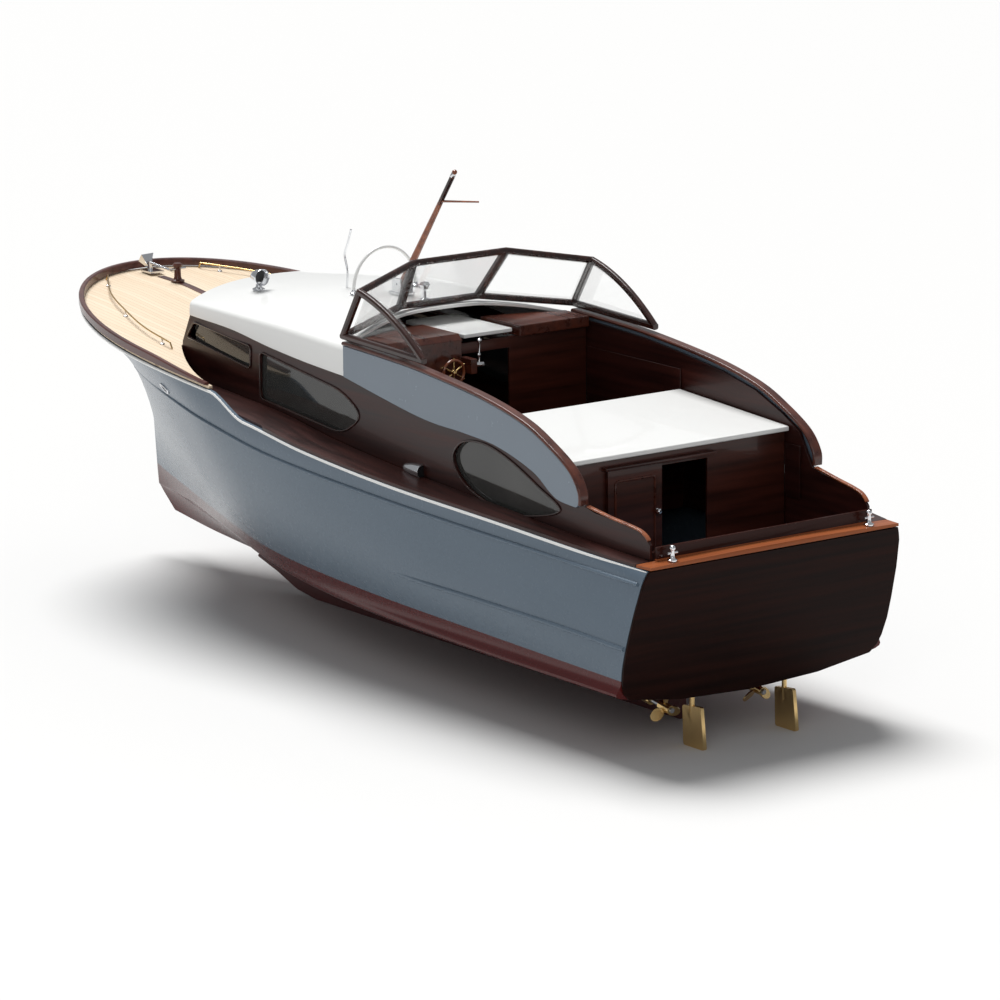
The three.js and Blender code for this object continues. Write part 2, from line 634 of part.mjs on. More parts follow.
function steeringWheel() {
  const centre = v3(358, 36, 176);
  const turn = new THREE.Matrix4().makeRotationY(Math.PI / 2).setPosition(centre);
  const rim = solidOf(new THREE.TorusGeometry(10, 1, 5, 16), turn);
  const spokes = range(0, 1, 3).slice(0, 3).map((t) => {
    const a = t * 2 * Math.PI + Math.PI / 2;
    const tip = centre.clone().add(v3(0, 12.5 * Math.cos(a), 12.5 * Math.sin(a)));
    const back = centre.clone().add(v3(0, -12.5 * Math.cos(a), -12.5 * Math.sin(a)));
    return rod(tip, back, 0.7, 0.7, 6);
  });
  const shaft = rod(centre.clone().add(v3(-2.4, 0, 0)), centre.clone().add(v3(7.6, 0, 0)), 2);
  return join(rim, shaft, ...spokes);
}

function throttleLever() {
  const foot = v3(357, 12, 180);
  const lever = rod(foot, v3(356, 12, 199), 0.9, 0.7, 8);
  const pivot = rod(v3(357, 8, 180), v3(357, 16, 180), 2.2);
  return join(lever, pivot, ball(v3(356, 12, 199.5), 2.1), ball(v3(356.6, 12, 188), 1.6));
}

const HATCH = { from: -32, to: 16, aft: 371, fore: 452, low: 199.2, high: 202.6 };

function companionHatch() {
  return box(HATCH.aft, HATCH.fore, HATCH.from, HATCH.to, HATCH.low, HATCH.high);
}

/** Two rails that the hatch slides on, tied together at their fore end. */
function hatchRunners() {
  const rails = [HATCH.from, HATCH.to - 3.5].map((y) => box(378, 502, y, y + 3.5, 196, 198.9));
  return join(...rails, box(499, 502, HATCH.from, HATCH.to, 196, 204));
}

// Windshield

const SHIELD = {
  cornerTop: v3(374, 115, 248),
  cornerFoot: v3(398, 114.5, 209.4),
  middleTop: v3(398, 46, 260),
  middleFoot: v3(427, 38.5, 220),
  tail: v3(290, 114, 205.8),
};

const starboard = (p) => v3(p.x, -p.y, p.z);

/** Curved upper edge of a side pane. */
function sidePaneEdge(top, tail) {
  return new THREE.QuadraticBezierCurve3(top, v3(mix(top.x, tail.x, 0.52), top.y, top.z - 9), tail);
}

function windshieldFrame() {
  const { cornerTop, cornerFoot, middleTop, middleFoot, tail } = SHIELD;
  const pairs = [[cornerTop, middleTop], [cornerFoot, middleFoot], [cornerTop, cornerFoot], [cornerFoot, tail]];
  const straight = ([a, b], width = 5.2) => bar(new THREE.LineCurve3(a, b), width, width);
  const mullion = straight([middleTop, middleFoot], 7);
  const side = join(...pairs.map((ends) => straight(ends)), mullion, bar(sidePaneEdge(cornerTop, tail), 4.6, 4.6, 8));
  const across = [middleTop, middleFoot].map((p) => straight([p, starboard(p)]));
  return join(side, mirrored(side), ...across);
}

/** One bent sheet of clear glass just inside the frame, from one side pane's tail to the other's. */
function windshieldGlass() {
  const { cornerTop, cornerFoot, middleTop, middleFoot, tail } = SHIELD;
  const edge = sidePaneEdge(cornerTop, tail);
  const side = range(0.9, 0, 5).map((t) => [edge.getPoint(t), cornerFoot.clone().lerp(tail, t)]);
  const port = [...side, [middleTop, middleFoot]];
  const lines = [...port, ...port.slice().reverse().map((line) => line.map(starboard))];
  const middle = v3(330, 0, 0);
  return loft(
    lines.map(([top, foot]) => {
      const inward = middle.clone().sub(foot).setZ(0).normalize();
      const at = (p, d) => p.clone().addScaledVector(inward, d);
      return [at(top, 5.6), at(foot, 5.6), at(foot, 6.5), at(top, 6.5)];
    }),
  );
}

// Glazing

/** A strip of glass inside a cabin side, behind all its windows. */
function sideGlass() {
  const low = fair([
    [104, 100], [190, 101], [256, 112], [272, 118], [352, 118], [368, 123], [520, 134], [560, 152], [645, 168],
  ]);
  const high = fair([
    [104, 122], [140, 141], [212, 156], [256, 150], [272, 124],
    [352, 124], [368, 160], [402, 168], [523, 181], [634, 187.5],
  ]);
  return loft(
    range(104, 634, 26).map((x) => {
      const outer = wallHalf(x) - BOARD - GAP;
      return [v3(x, outer, low(x)), v3(x, outer, high(x)), v3(x, outer - 0.8, high(x)), v3(x, outer - 0.8, low(x))];
    }),
  );
}

function frontGlass() {
  return loft(
    range(90, -90, 14).map((y) => {
      const at = (d, z) => v3(frontX(y) - BOARD - GAP - d - FRONT_RAKE * ((z - 165) / 35), y, z);
      return [at(0, 171), at(0, 195), at(0.8, 195), at(0.8, 171)];
    }),
  );
}

// Roof and deck fittings

function mastTabernacle() {
  const base = box(470, 488, -7, 7, 218.4, 220.4);
  const cheeks = [1, -1].map((side) => box(472, 484, side > 0 ? 4.2 : -6.2, side > 0 ? 6.2 : -4.2, 219, 232));
  const pin = rod(v3(MAST_PIVOT.x, -7, MAST_PIVOT.z), v3(MAST_PIVOT.x, 7, MAST_PIVOT.z), 0.9, 0.9, 8);
  return join(base, ...cheeks, pin);
}

/** Signal mast with its short gaff, bored for the tabernacle's pin. */
function mast() {
  const along = MAST_TOP.clone().sub(MAST_PIVOT).normalize();
  const spar = rod(MAST_PIVOT.clone().addScaledVector(along, -4), MAST_TOP, 3.4, 1.7);
  const gaff = rod(v3(423, 0, 302), v3(372, 0, 308), 1, 0.7, 8);
  const bore = rod(v3(MAST_PIVOT.x, -10, MAST_PIVOT.z), v3(MAST_PIVOT.x, 10, MAST_PIVOT.z), 1.25, 1.25, 8);
  return cut(join(spar, gaff, ball(MAST_TOP, 2.2)), bore);
}

/** Hoop-shaped grab rail across the roof. */
function roofHoop() {
  const points = range(0, Math.PI, 10).map((a) => v3(503, 31 * Math.cos(a), 221 + 33 * Math.sin(a)));
  const feet = [1, -1].map((side) => rod(v3(503, side * 31, 218.6), v3(503, side * 31, 222), 3));
  return join(roundBar(new THREE.CatmullRomCurve3(points), 1.2, 14, 3), ...feet);
}

function searchlight() {
  const z = roofTop(LIGHT.x, LIGHT.y) + 0.6;
  const stand = rod(v3(LIGHT.x, LIGHT.y, z), v3(LIGHT.x, LIGHT.y, z + 7), 2.4);
  const foot = rod(v3(LIGHT.x, LIGHT.y, z), v3(LIGHT.x, LIGHT.y, z + 1.6), 5.5, 4.5);
  const bowl = rod(v3(LIGHT.x + 7, LIGHT.y, z + 11), v3(LIGHT.x - 6, LIGHT.y, z + 11), 4, 7.2, 16);
  const mouth = rod(v3(LIGHT.x + 2, LIGHT.y, z + 11), v3(LIGHT.x - 7, LIGHT.y, z + 11), 3.6, 6.6, 16);
  return cut(join(stand, foot, bowl), mouth);
}

function mooringBitt() {
  const x = 815;
  const z = foredeckTop(x + 6, 0) + GAP;
  const post = box(x - 3, x + 3, -3, 3, z, z + 16);
  const pin = rod(v3(x, -8, z + 11), v3(x, 8, z + 11), 1.1, 1.1, 8);
  return join(post, pin, rod(v3(x, 0, z), v3(x, 0, z + 1.5), 6));
}

/** Stock anchor lying on the stem head, with its chock. */
function bowAnchor() {
  const x = 856;
  const z = foredeckTop(x + 8, 0) + 2 * GAP;
  const plate = box(x - 9, x + 7, -7, 7, z, z + 1.6);
  const shank = rod(v3(x - 34, 0, z + 5), v3(x + 6, 0, z + 8), 1.3, 1.3, 8);
  const flukes = loft([
    [v3(x + 2, 0, z + 1), v3(x + 9, 8, z + 9), v3(x + 6, 7, z + 15)],
    [v3(x + 4, 0, z + 1), v3(x + 11, -8, z + 9), v3(x + 8, -7, z + 15)],
  ]);
  return join(plate, shank, rod(v3(x + 3, 0, z + 1), v3(x + 3, 0, z + 9), 2.2), flukes);
}

function sternBitt(side) {
  const [x, y, z] = [2.5, side * 95, TRANSOM_HEIGHT + GAP + DECK + 1.6];
  const post = rod(v3(x, y, z), v3(x, y, z + 9), 1.8);
  const pin = rod(v3(x, y - 4.5, z + 6), v3(x, y + 4.5, z + 6), 0.9, 0.9, 8);
  return join(post, pin, rod(v3(x, y, z), v3(x, y, z + 1.4), 4), ball(v3(x, y, z + 9.4), 2.3));
}

// Drive and steering gear, made for the port side and mirrored

function propShaft() {
  const coupling = rod(shaftLine(300, 1), shaftLine(322, 1), 5);
  return join(rod(shaftLine(66, 1), shaftLine(310, 1), SHAFT_RADIUS), coupling);
}

/** Three-bladed propeller on a bored hub. */
function propeller(side) {
  const hub = rod(shaftLine(68, side), shaftLine(80, side), 3.4, 4.2);
  const bore = rod(shaftLine(60, side), shaftLine(90, side), SHAFT_RADIUS + 0.2);
  const axis = shaftLine(80, side).sub(shaftLine(68, side)).normalize();
  const blades = [0, 1, 2].map((i) => {
    const shape = new THREE.Shape();
    shape.absellipse(0, 9, 4.6, 6.5, 0, 2 * Math.PI);
    const geometry = new THREE.ExtrudeGeometry(shape, { depth: 1, bevelEnabled: false, curveSegments: 6 });
    const matrix = new THREE.Matrix4()
      .makeTranslation(...shaftLine(74, side))
      .multiply(new THREE.Matrix4().makeRotationFromQuaternion(new THREE.Quaternion().setFromUnitVectors(v3(1, 0, 0), axis)))
      .multiply(new THREE.Matrix4().makeRotationX((i * 2 * Math.PI) / 3))
      .multiply(bladePitch(side));
    return solidOf(geometry, matrix);
  });
  return cut(join(hub, ...blades), bore);
}

/** Stands a blade's outline up along +z and turns it about its own length to the blade's pitch. */
function bladePitch(side) {
  const stand = new THREE.Matrix4().makeBasis(v3(0, 1, 0), v3(0, 0, 1), v3(1, 0, 0));
  return new THREE.Matrix4().makeRotationZ(side * THREE.MathUtils.degToRad(28)).multiply(stand);
}

/** Strut that holds the shaft ahead of the propeller. */
function strut() {
  const at = shaftLine(98, 1);
  const barrel = rod(shaftLine(91, 1), shaftLine(105, 1), 4.4);
  const leg = box(at.x - 4, at.x + 4, at.y - 1.3, at.y + 1.3, at.z + 2, bottomAt(at.x, at.y) - 3);
  return cut(join(barrel, leg), rod(shaftLine(80, 1), shaftLine(120, 1), SHAFT_RADIUS + 0.25));
}

/** Height of the outside of the bottom planking at a point near the stern. */
function bottomAt(x, y) {
  const s = (x - TRANSOM_RAKE) / (LENGTH - TRANSOM_RAKE);
  return mix(LINES.keel.z(s), LINES.chine.z(s), y / LINES.chine.half(s));
}

/** Rudder blade, stock and tiller arm. */
function rudder() {
  const [x, y] = [RUDDER.x, RUDDER.y];
  const outline = [[x - 16, KEEL_BOTTOM], [x + 9, KEEL_BOTTOM], [x + 10, -31], [x - 12, -29]];
  const blade = sideCut(roundedOutline(outline.map(([a, b]) => [a, b, 2])), y - 1.6, y + 1.6, 3);
  const stock = rod(v3(x, y, -40), v3(x, y, TILLER_Z + 1.5), STOCK_RADIUS);
  const arm = box(x - 3, x + TILLER + 3, y - 3, y + 3, TILLER_Z - 1.2, TILLER_Z + 1.2);
  return join(blade, stock, arm);
}

/** A flat link with rounded ends between two pins. */
function link(a, b, z) {
  const along = b.clone().sub(a);
  const turn = new THREE.Matrix4().makeRotationZ(Math.atan2(along.y, along.x)).setPosition(v3(a.x, a.y, z));
  const middle = new THREE.Matrix4().makeTranslation(along.length() / 2, 0, 0).premultiply(turn);
  const bodyBox = solidOf(new THREE.BoxGeometry(along.length(), 3, 1.6), middle);
  const ends = [a, b].map((p) => rod(v3(p.x, p.y, z - 0.8), v3(p.x, p.y, z + 0.8), 2.6));
  return join(bodyBox, ...ends);
}

const tillerPin = (side) => v3(RUDDER.x + TILLER, side * RUDDER.y, 0);
const tieBar = () => link(tillerPin(-1), tillerPin(1), TILLER_Z + 2.6);
const pushrod = () => link(v3(SERVO.x + TILLER, SERVO.y, 0), tillerPin(1), TILLER_Z + 5);

function servoHorn() {
  const arm = box(SERVO.x - 3, SERVO.x + TILLER + 3, -3, 3, TILLER_Z - 1.2, TILLER_Z + 1.2);
  const pin = rod(v3(SERVO.x + TILLER, 0, TILLER_Z), v3(SERVO.x + TILLER, 0, TILLER_Z + 3.8), 1.2);
  return join(arm, pin, rod(v3(SERVO.x, 0, TILLER_Z - 2), v3(SERVO.x, 0, TILLER_Z + 2), 3.6));
}

function rudderServo() {
  const [x, y] = [SERVO.x, SERVO.y];
  const body = box(x - 10, x + 26, y - 9, y + 9, -21, TILLER_Z - 4);
  return join(body, rod(v3(x, y, TILLER_Z - 5), v3(x, y, TILLER_Z - 2.4), 4), box(x - 16, x + 32, y - 9, y + 9, 0, 2));
}

const equipmentTray = () => box(292, 505, -60, 60, -17, -14);
const battery = () => box(412, 502, -32, 32, -13.6, 22);
const speedController = () => box(380, 404, -14, 14, -13.6, 0);
const receiver = () => box(330, 368, -16, 16, -13.6, 2);

function motor() {
  const [a, b] = [shaftLine(330, 1), shaftLine(384, 1)];
  const can = rod(a, b, 11, 11, 16);
  const spindle = rod(shaftLine(323, 1), a, 1.5, 1.5, 8);
  const foot = box(340, 366, SHAFT_Y - 9, SHAFT_Y + 9, -13.6, a.z - 4);
  return join(can, spindle, foot);
}

// Assembly

const PAINT = {
  hull: [0x8fa3b4, 0.25, 0],
  white: [0xf2f2ef, 0.35, 0],
  mahogany: [0x4a1710, 0.35, 0],
  varnish: [0x8a3a1c, 0.3, 0],
  deck: [0xe6c597, 0.6, 0],
  red: [0x6a1a16, 0.5, 0],
  chrome: [0xd8d8d8, 0.1, 1],
  brass: [0xb8923f, 0.25, 1],
  plastic: [0x1c1c1e, 0.55, 0],
  steel: [0x9a9da0, 0.3, 1],
  glass: [0xdfe8ea, 0.05, 0],
  blueWrap: [0x2f5fa8, 0.4, 0],
};

const boat = new THREE.Group();
boat.position.set(-(LENGTH + RAIL_OVERHANG - TRANSOM_OVERHANG) / 2, 0, -KEEL_BOTTOM);

function place(name, solid, paint) {
  const [color, roughness, metalness] = PAINT[paint];
  const material = new THREE.MeshStandardMaterial({ color, roughness, metalness });
  const mesh = new THREE.Mesh(geometryOf(solid), material);
  mesh.name = name;
  boat.add(mesh);
}

function placePair(name, solid, paint) {
  place(`${name}_port`, solid, paint);
  place(`${name}_starboard`, mirrored(solid), paint);
}

place('hull', hull(), 'hull');
place('keel', keel(), 'red');
place('transom_board', transomBoard(), 'mahogany');
place('foredeck', foredeck(), 'deck');
placePair('side_deck', sideDeck(), 'mahogany');
place('transom_deck', transomDeck(), 'varnish');
place('toe_rail', toeRail(), 'mahogany');
placePair('cabin_side', cabinSide(), 'mahogany');
place('cabin_front', cabinFront(), 'mahogany');
place('cabin_roof', cabinRoof(), 'white');
placePair('coaming', coaming(), 'hull');
placePair('coaming_cap', coamingCap(), 'varnish');
place('bridge_bulkhead', bridgeBulkhead(), 'mahogany');
place('helm_console', helmConsole(), 'varnish');
place('starboard_dash', starboardDash(), 'varnish');
place('bridge_floor', bridgeFloor(), 'mahogany');
place('aft_cabin_front', aftCabinFront(), 'mahogany');
place('cockpit_bulkhead', cockpitBulkhead(), 'mahogany');
place('cockpit_floor', cockpitFloor(), 'mahogany');
placePair('side_glass', sideGlass(), 'glass');
place('front_glass', frontGlass(), 'glass');
place('windshield_frame', windshieldFrame(), 'mahogany');
place('windshield_glass', windshieldGlass(), 'glass');
place('hatch_runners', hatchRunners(), 'varnish');
place('mast_tabernacle', mastTabernacle(), 'chrome');
place('roof_hoop', roofHoop(), 'chrome');
place('mooring_bitt', mooringBitt(), 'chrome');
place('bow_anchor', bowAnchor(), 'chrome');
place('stern_bitt_port', sternBitt(1), 'chrome');
place('stern_bitt_starboard', sternBitt(-1), 'chrome');
place('equipment_tray', equipmentTray(), 'deck');
place('battery', battery(), 'blueWrap');
place('speed_controller', speedController(), 'plastic');
place('receiver', receiver(), 'plastic');
place('rudder_servo', rudderServo(), 'plastic');
placePair('motor', motor(), 'steel');
placePair('strut', strut(), 'brass');
placePair('prop_shaft', propShaft(), 'steel');
place('propeller_port', propeller(1), 'brass');
place('propeller_starboard', propeller(-1), 'brass');
placePair('rudder', rudder(), 'brass');
place('tie_bar', tieBar(), 'brass');
place('servo_horn', servoHorn(), 'white');
place('pushrod', pushrod(), 'steel');
place('steering_wheel', steeringWheel(), 'brass');
place('throttle_lever', throttleLever(), 'chrome');
place('cabin_door', cabinDoor(), 'mahogany');
place('companion_hatch', companionHatch(), 'white');
place('mast', mast(), 'varnish');
place('searchlight', searchlight(), 'chrome');
place('aft_cabin_top', aftCabinTop(), 'white');

export default boat;
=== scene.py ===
"""Looks of the model motor cruiser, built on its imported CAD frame. Boat coordinates below are in mm:
x forward from the transom's top, y to port, z up from the waterline, as in the CAD source."""

import json
import math

import bmesh
import bpy
from mathutils import Matrix, Vector
from mathutils.geometry import tessellate_polygon


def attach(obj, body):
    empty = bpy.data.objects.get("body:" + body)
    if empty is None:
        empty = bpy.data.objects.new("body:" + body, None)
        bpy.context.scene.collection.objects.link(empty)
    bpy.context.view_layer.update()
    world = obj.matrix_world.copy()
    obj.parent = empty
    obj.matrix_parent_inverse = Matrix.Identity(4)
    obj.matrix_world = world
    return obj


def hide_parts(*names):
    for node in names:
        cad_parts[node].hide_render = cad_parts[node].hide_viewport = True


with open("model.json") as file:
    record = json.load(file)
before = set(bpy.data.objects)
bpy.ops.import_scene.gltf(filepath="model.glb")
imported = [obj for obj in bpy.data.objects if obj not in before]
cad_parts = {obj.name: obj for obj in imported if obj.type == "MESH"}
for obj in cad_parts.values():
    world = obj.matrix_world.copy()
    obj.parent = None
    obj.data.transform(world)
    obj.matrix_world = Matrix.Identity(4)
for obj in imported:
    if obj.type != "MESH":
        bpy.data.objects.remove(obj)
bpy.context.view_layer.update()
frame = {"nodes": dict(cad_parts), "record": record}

MM = 0.001
SHIFT = Vector((-436.6, 0, 62))  # boat coordinates to the row's frame, in mm
LENGTH = 875
TRANSOM_HEIGHT = 93
WALL_HALF = 112.9
SIDES = {"port": 1, "starboard": -1}


def row(point):
    """A boat point, in mm, in the row's frame, in metres."""
    return (Vector(point) + SHIFT) * MM


# Camera: where the photographer stood, with a long lens


def aim_camera():
    azimuth = math.radians(143.66)
    elevation = math.radians(12.65)
    roll = math.radians(-0.456)
    flat = math.cos(elevation)
    back = Vector((flat * math.cos(azimuth), flat * math.sin(azimuth), math.sin(elevation)))
    level = (-back).cross(Vector((0, 0, 1))).normalized()
    raised = level.cross(-back)
    right = math.cos(roll) * level + math.sin(roll) * raised
    up = math.cos(roll) * raised - math.sin(roll) * level
    camera = bpy.data.objects.new("camera", bpy.data.cameras.new("camera"))
    camera.data.lens = 190.8
    camera.data.sensor_width = 36
    camera.data.clip_end = 100
    turn = Matrix((right, up, back)).transposed().to_4x4()
    camera.matrix_world = Matrix.Translation(row((-2994.06, 2457.28, 1000.15))) @ turn
    bpy.context.scene.collection.objects.link(camera)
    bpy.context.scene.camera = camera


aim_camera()


# Materials


class Shader:
    """A Principled material with a few helpers for its node tree."""

    def __init__(self, name, color, rough, metal=0.0, coat=0.0, ior=1.5):
        self.material = bpy.data.materials.new(name)
        self.material.use_nodes = True
        self.tree = self.material.node_tree
        self.main = self.tree.nodes["Principled BSDF"]
        self.main.inputs["Base Color"].default_value = (*color, 1)
        self.main.inputs["Roughness"].default_value = rough
        self.main.inputs["Metallic"].default_value = metal
        self.main.inputs["IOR"].default_value = ior
        self.main.inputs["Coat Weight"].default_value = coat
        self.main.inputs["Coat Roughness"].default_value = 0.04
        self.where = self.tree.nodes.new("ShaderNodeTexCoord").outputs["Object"]

    def node(self, kind, inputs=None, **settings):
        made = self.tree.nodes.new(kind)
        for key, value in settings.items():
            setattr(made, key, value)
        for key, value in (inputs or {}).items():
            if isinstance(value, bpy.types.NodeSocket):
                self.tree.links.new(value, made.inputs[key])
            else:
                made.inputs[key].default_value = value
        return made

    def math(self, operation, a, b=0.0):
        return self.node("ShaderNodeMath", {0: a, 1: b}, operation=operation).outputs[0]

    def noise(self, scale, detail=4, stretch=(1, 1, 1)):
        place = self.node("ShaderNodeMapping", {"Vector": self.where, "Scale": stretch})
        inputs = {"Vector": place.outputs[0], "Scale": scale, "Detail": detail}
        return self.node("ShaderNodeTexNoise", inputs).outputs["Fac"]

    def ramp(self, factor, stops):
        made = self.node("ShaderNodeValToRGB", {"Fac": factor})
        elements = made.color_ramp.elements
        while len(elements) < len(stops):
            elements.new(0.5)
        for element, (position, color) in zip(elements, stops):
            element.position = position
            element.color = (*color, 1)
        return made.outputs["Color"]

    def mix(self, factor, a, b, blend="MIX"):
        made = self.node("ShaderNodeMix", data_type="RGBA", blend_type=blend)
        for index, value in ((0, factor), (6, a), (7, b)):
            if isinstance(value, bpy.types.NodeSocket):
                self.tree.links.new(value, made.inputs[index])
            else:
                made.inputs[index].default_value = value if index == 0 else (*value, 1)
        return made.outputs[2]

    def separate(self):
        return self.node("ShaderNodeSeparateXYZ", {0: self.where}).outputs

    def color(self, socket):
        self.tree.links.new(socket, self.main.inputs["Base Color"])

    def rough(self, factor, low, high):
        spread = self.node("ShaderNodeMapRange", {"Value": factor, "To Min": low, "To Max": high})
        self.tree.links.new(spread.outputs[0], self.main.inputs["Roughness"])

    def bump(self, height, strength, distance=0.0005):
        made = self.node("ShaderNodeBump", {"Height": height, "Strength": strength, "Distance": distance})
        self.tree.links.new(made.outputs[0], self.main.inputs["Normal"])


ALONG = (9, 160, 160)  # wood grain stretched fore and aft
ATHWART = (160, 9, 160)  # and across the boat


def wood(name, dark, light, rough=0.32, coat=0.7, stretch=ALONG, ior=1.4):
    shader = Shader(name, light, rough, coat=coat, ior=ior)
    grain = shader.noise(1.0, 8, stretch)
    pores = shader.noise(2.2, 6, tuple(3 * s for s in stretch))
    cloud = shader.noise(14, 3)
    between = tuple((a + b) / 2 for a, b in zip(dark, light))
    figure = shader.ramp(grain, [(0.32, dark), (0.5, between), (0.68, light)])
    figure = shader.mix(shader.math("MULTIPLY", pores, 0.35), figure, dark)
    shader.color(shader.mix(shader.math("MULTIPLY", cloud, 0.3), figure, tuple(0.6 * c for c in light)))
    shader.rough(grain, rough - 0.08, rough + 0.1)
    shader.bump(pores, 0.06)
    return shader.material


def paint(name, color, rough=0.25, coat=0.5, wear=0.06):
    shader = Shader(name, color, rough, coat=coat)
    cloud = shader.noise(16, 4)
    fine = shader.noise(260, 3)
    shade = tuple(c * (1 - 2 * wear) for c in color)
    shader.color(shader.mix(shader.math("MULTIPLY", cloud, 0.8), color, shade))
    shader.rough(fine, rough - 0.05, rough + 0.12)
    shader.bump(fine, 0.03)
    return shader.material


def hull_paint():
    """Grey-blue topsides over a red bottom, parted by a line that rises a little towards the bow."""
    shader = Shader("hull_paint", (0.11, 0.15, 0.19), 0.22, coat=0.1, ior=1.3)
    x, _, z = shader.separate()[:3]
    line = shader.math("ADD", shader.math("MULTIPLY", x, 0.0105), 0.0716)
    above = shader.math("GREATER_THAN", z, line)
    cloud = shader.noise(9, 5, (1, 1, 2.5))
    fine = shader.noise(240, 3)
    blue = shader.mix(cloud, (0.125, 0.165, 0.21), (0.10, 0.138, 0.178))
    red = shader.mix(cloud, (0.10, 0.011, 0.010), (0.065, 0.008, 0.008))
    shader.color(shader.mix(above, red, blue))
    shader.rough(fine, 0.2, 0.32)
    shader.bump(fine, 0.006)
    return shader.material


def stern_wood():
    """Bright varnish on the narrow stern deck, and dark mahogany on the coaming that stands on it."""
    shader = Shader("stern_wood", (0.4, 0.12, 0.04), 0.28, coat=0.1, ior=1.2)
    grain = shader.noise(1.0, 8, ATHWART)
    deck = shader.mix(grain, (0.42, 0.13, 0.045), (0.17, 0.04, 0.014))
    board = shader.mix(grain, (0.045, 0.009, 0.005), (0.012, 0.003, 0.002))
    above = shader.math("GREATER_THAN", shader.separate()[2], 0.1602)
    shader.color(shader.mix(above, deck, board))
    shader.rough(grain, 0.22, 0.36)
    return shader.material


def planked_deck():
    """Narrow bare planks laid fore and aft, with dark seams."""
    shader = Shader("planked_deck", (0.72, 0.55, 0.38), 0.55, coat=0.05)
    y = shader.separate()[1]
    course = shader.math("MULTIPLY", y, 1 / (4.6 * MM))
    seam = shader.math("LESS_THAN", shader.math("FRACT", shader.math("ADD", course, 100.0)), 0.07)
    plank = shader.node("ShaderNodeTexWhiteNoise", {"W": shader.math("FLOOR", course)}, noise_dimensions="1D")
    grain = shader.noise(1.0, 8, (14, 420, 420))
    tone = shader.mix(plank.outputs["Value"], (0.80, 0.67, 0.50), (0.74, 0.59, 0.42))
    tone = shader.mix(shader.math("MULTIPLY", grain, 0.4), tone, (0.56, 0.39, 0.23))
    shader.color(shader.mix(shader.math("MULTIPLY", seam, 0.55), tone, (0.20, 0.11, 0.05)))
    shader.rough(grain, 0.42, 0.6)
    shader.bump(shader.math("SUBTRACT", grain, seam), 0.12)
    return shader.material


def metal(name, color, rough):
    shader = Shader(name, color, rough, metal=1.0)
    smear = shader.noise(60, 5)
    shader.color(shader.mix(smear, color, tuple(0.82 * c for c in color)))
    shader.rough(smear, max(rough - 0.04, 0.02), rough + 0.14)
    return shader.material


def clear_glass():
    shader = Shader("clear_glass", (0.93, 0.97, 0.96), 0.03, ior=1.2)
    shader.main.inputs["Transmission Weight"].default_value = 1.0
    shader.main.inputs["Alpha"].default_value = 0.18
    shader.bump(shader.noise(30, 2), 0.01)
    return shader.material


def cabin_glass():
    """Cabin windows: smoky dark glass, its colour mostly a painted shade for the dim interior behind, uneven
    in patches.
    """
    shader = Shader("cabin_glass", (0.04, 0.042, 0.04), 0.06, coat=0.2)
    shader.main.inputs["Alpha"].default_value = 0.85
    uneven_shade = shader.noise(22, 3)
    # Painted shade of the dim cabin inside, darker and lighter in patches.
    shader.color(shader.mix(uneven_shade, (0.025, 0.025, 0.024), (0.075, 0.075, 0.07)))
    return shader.material


MATERIAL = {
    "hull_paint": hull_paint(),
    "coaming_paint": paint("coaming_paint", (0.155, 0.20, 0.25), 0.2, 0.4),
    "white_paint": paint("white_paint", (0.84, 0.84, 0.82), 0.3, 0.4, 0.02),
    "mahogany": wood("mahogany", (0.012, 0.003, 0.0025), (0.055, 0.012, 0.008), 0.36, 0.1),
    "transom_wood": wood(
        "transom_wood", (0.005, 0.0014, 0.001), (0.02, 0.0045, 0.0025), 0.4, 0.0, (160, 7, 160), 1.15
    ),
    "cross_mahogany": wood("cross_mahogany", (0.02, 0.005, 0.003), (0.09, 0.02, 0.011), 0.34, 0.25, ATHWART),
    "varnished_trim": wood("varnished_trim", (0.04, 0.009, 0.006), (0.125, 0.03, 0.014), 0.28, 0.4),
    "stern_varnish": wood("stern_varnish", (0.15, 0.035, 0.012), (0.40, 0.12, 0.042), 0.28, 0.4, ATHWART),
    "frame_wood": wood("frame_wood", (0.012, 0.004, 0.003), (0.05, 0.013, 0.008), 0.25, 0.4),
    "stern_wood": stern_wood(),
    "rail_wood": wood("rail_wood", (0.05, 0.014, 0.012), (0.14, 0.045, 0.036), 0.32, 0.5),
    "deck_wood": planked_deck(),
    "bottom_red": paint("bottom_red", (0.085, 0.010, 0.009), 0.4, 0.1, 0.12),
    "chrome": metal("chrome", (0.80, 0.81, 0.83), 0.08),
    "brass": metal("brass", (0.78, 0.55, 0.25), 0.18),
    "steel": metal("steel", (0.55, 0.56, 0.58), 0.3),
    "plastic": paint("plastic", (0.03, 0.03, 0.033), 0.5, 0, 0.2),
    "battery_wrap": paint("battery_wrap", (0.05, 0.14, 0.42), 0.3, 0.3, 0.1),
    "clear_glass": clear_glass(),
    "cabin_glass": cabin_glass(),
    # Near-black paint that fills the vent and cowl mouths: painted shade for their shaded insides.
    "dark": paint("dark", (0.012, 0.012, 0.013), 0.45, 0, 0.2),
}


# Mesh helpers


def finish_piece(
    name, mesh, material, body="boat", nodes=(), slot=None, bevel=0.0, smooth_angle=35, segments=2
):
    """Links a mesh as a piece, in the row's frame, with its material, bevelled edges and smooth shading."""
    piece = bpy.data.objects.new(name, mesh)
    bpy.context.scene.collection.objects.link(piece)
    mesh.materials.clear()
    mesh.materials.append(MATERIAL[material])
    for polygon in mesh.polygons:
        polygon.use_smooth = True
        polygon.material_index = 0
    mesh.set_sharp_from_angle(angle=math.radians(smooth_angle))
    if bevel:
        modifier = piece.modifiers.new("bevel", "BEVEL")
        modifier.width = bevel * MM
        modifier.segments = segments
        modifier.limit_method = "ANGLE"
        modifier.angle_limit = math.radians(32)
        modifier.harden_normals = True
    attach(piece, body)
    if nodes:
        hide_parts(*nodes)
    return piece


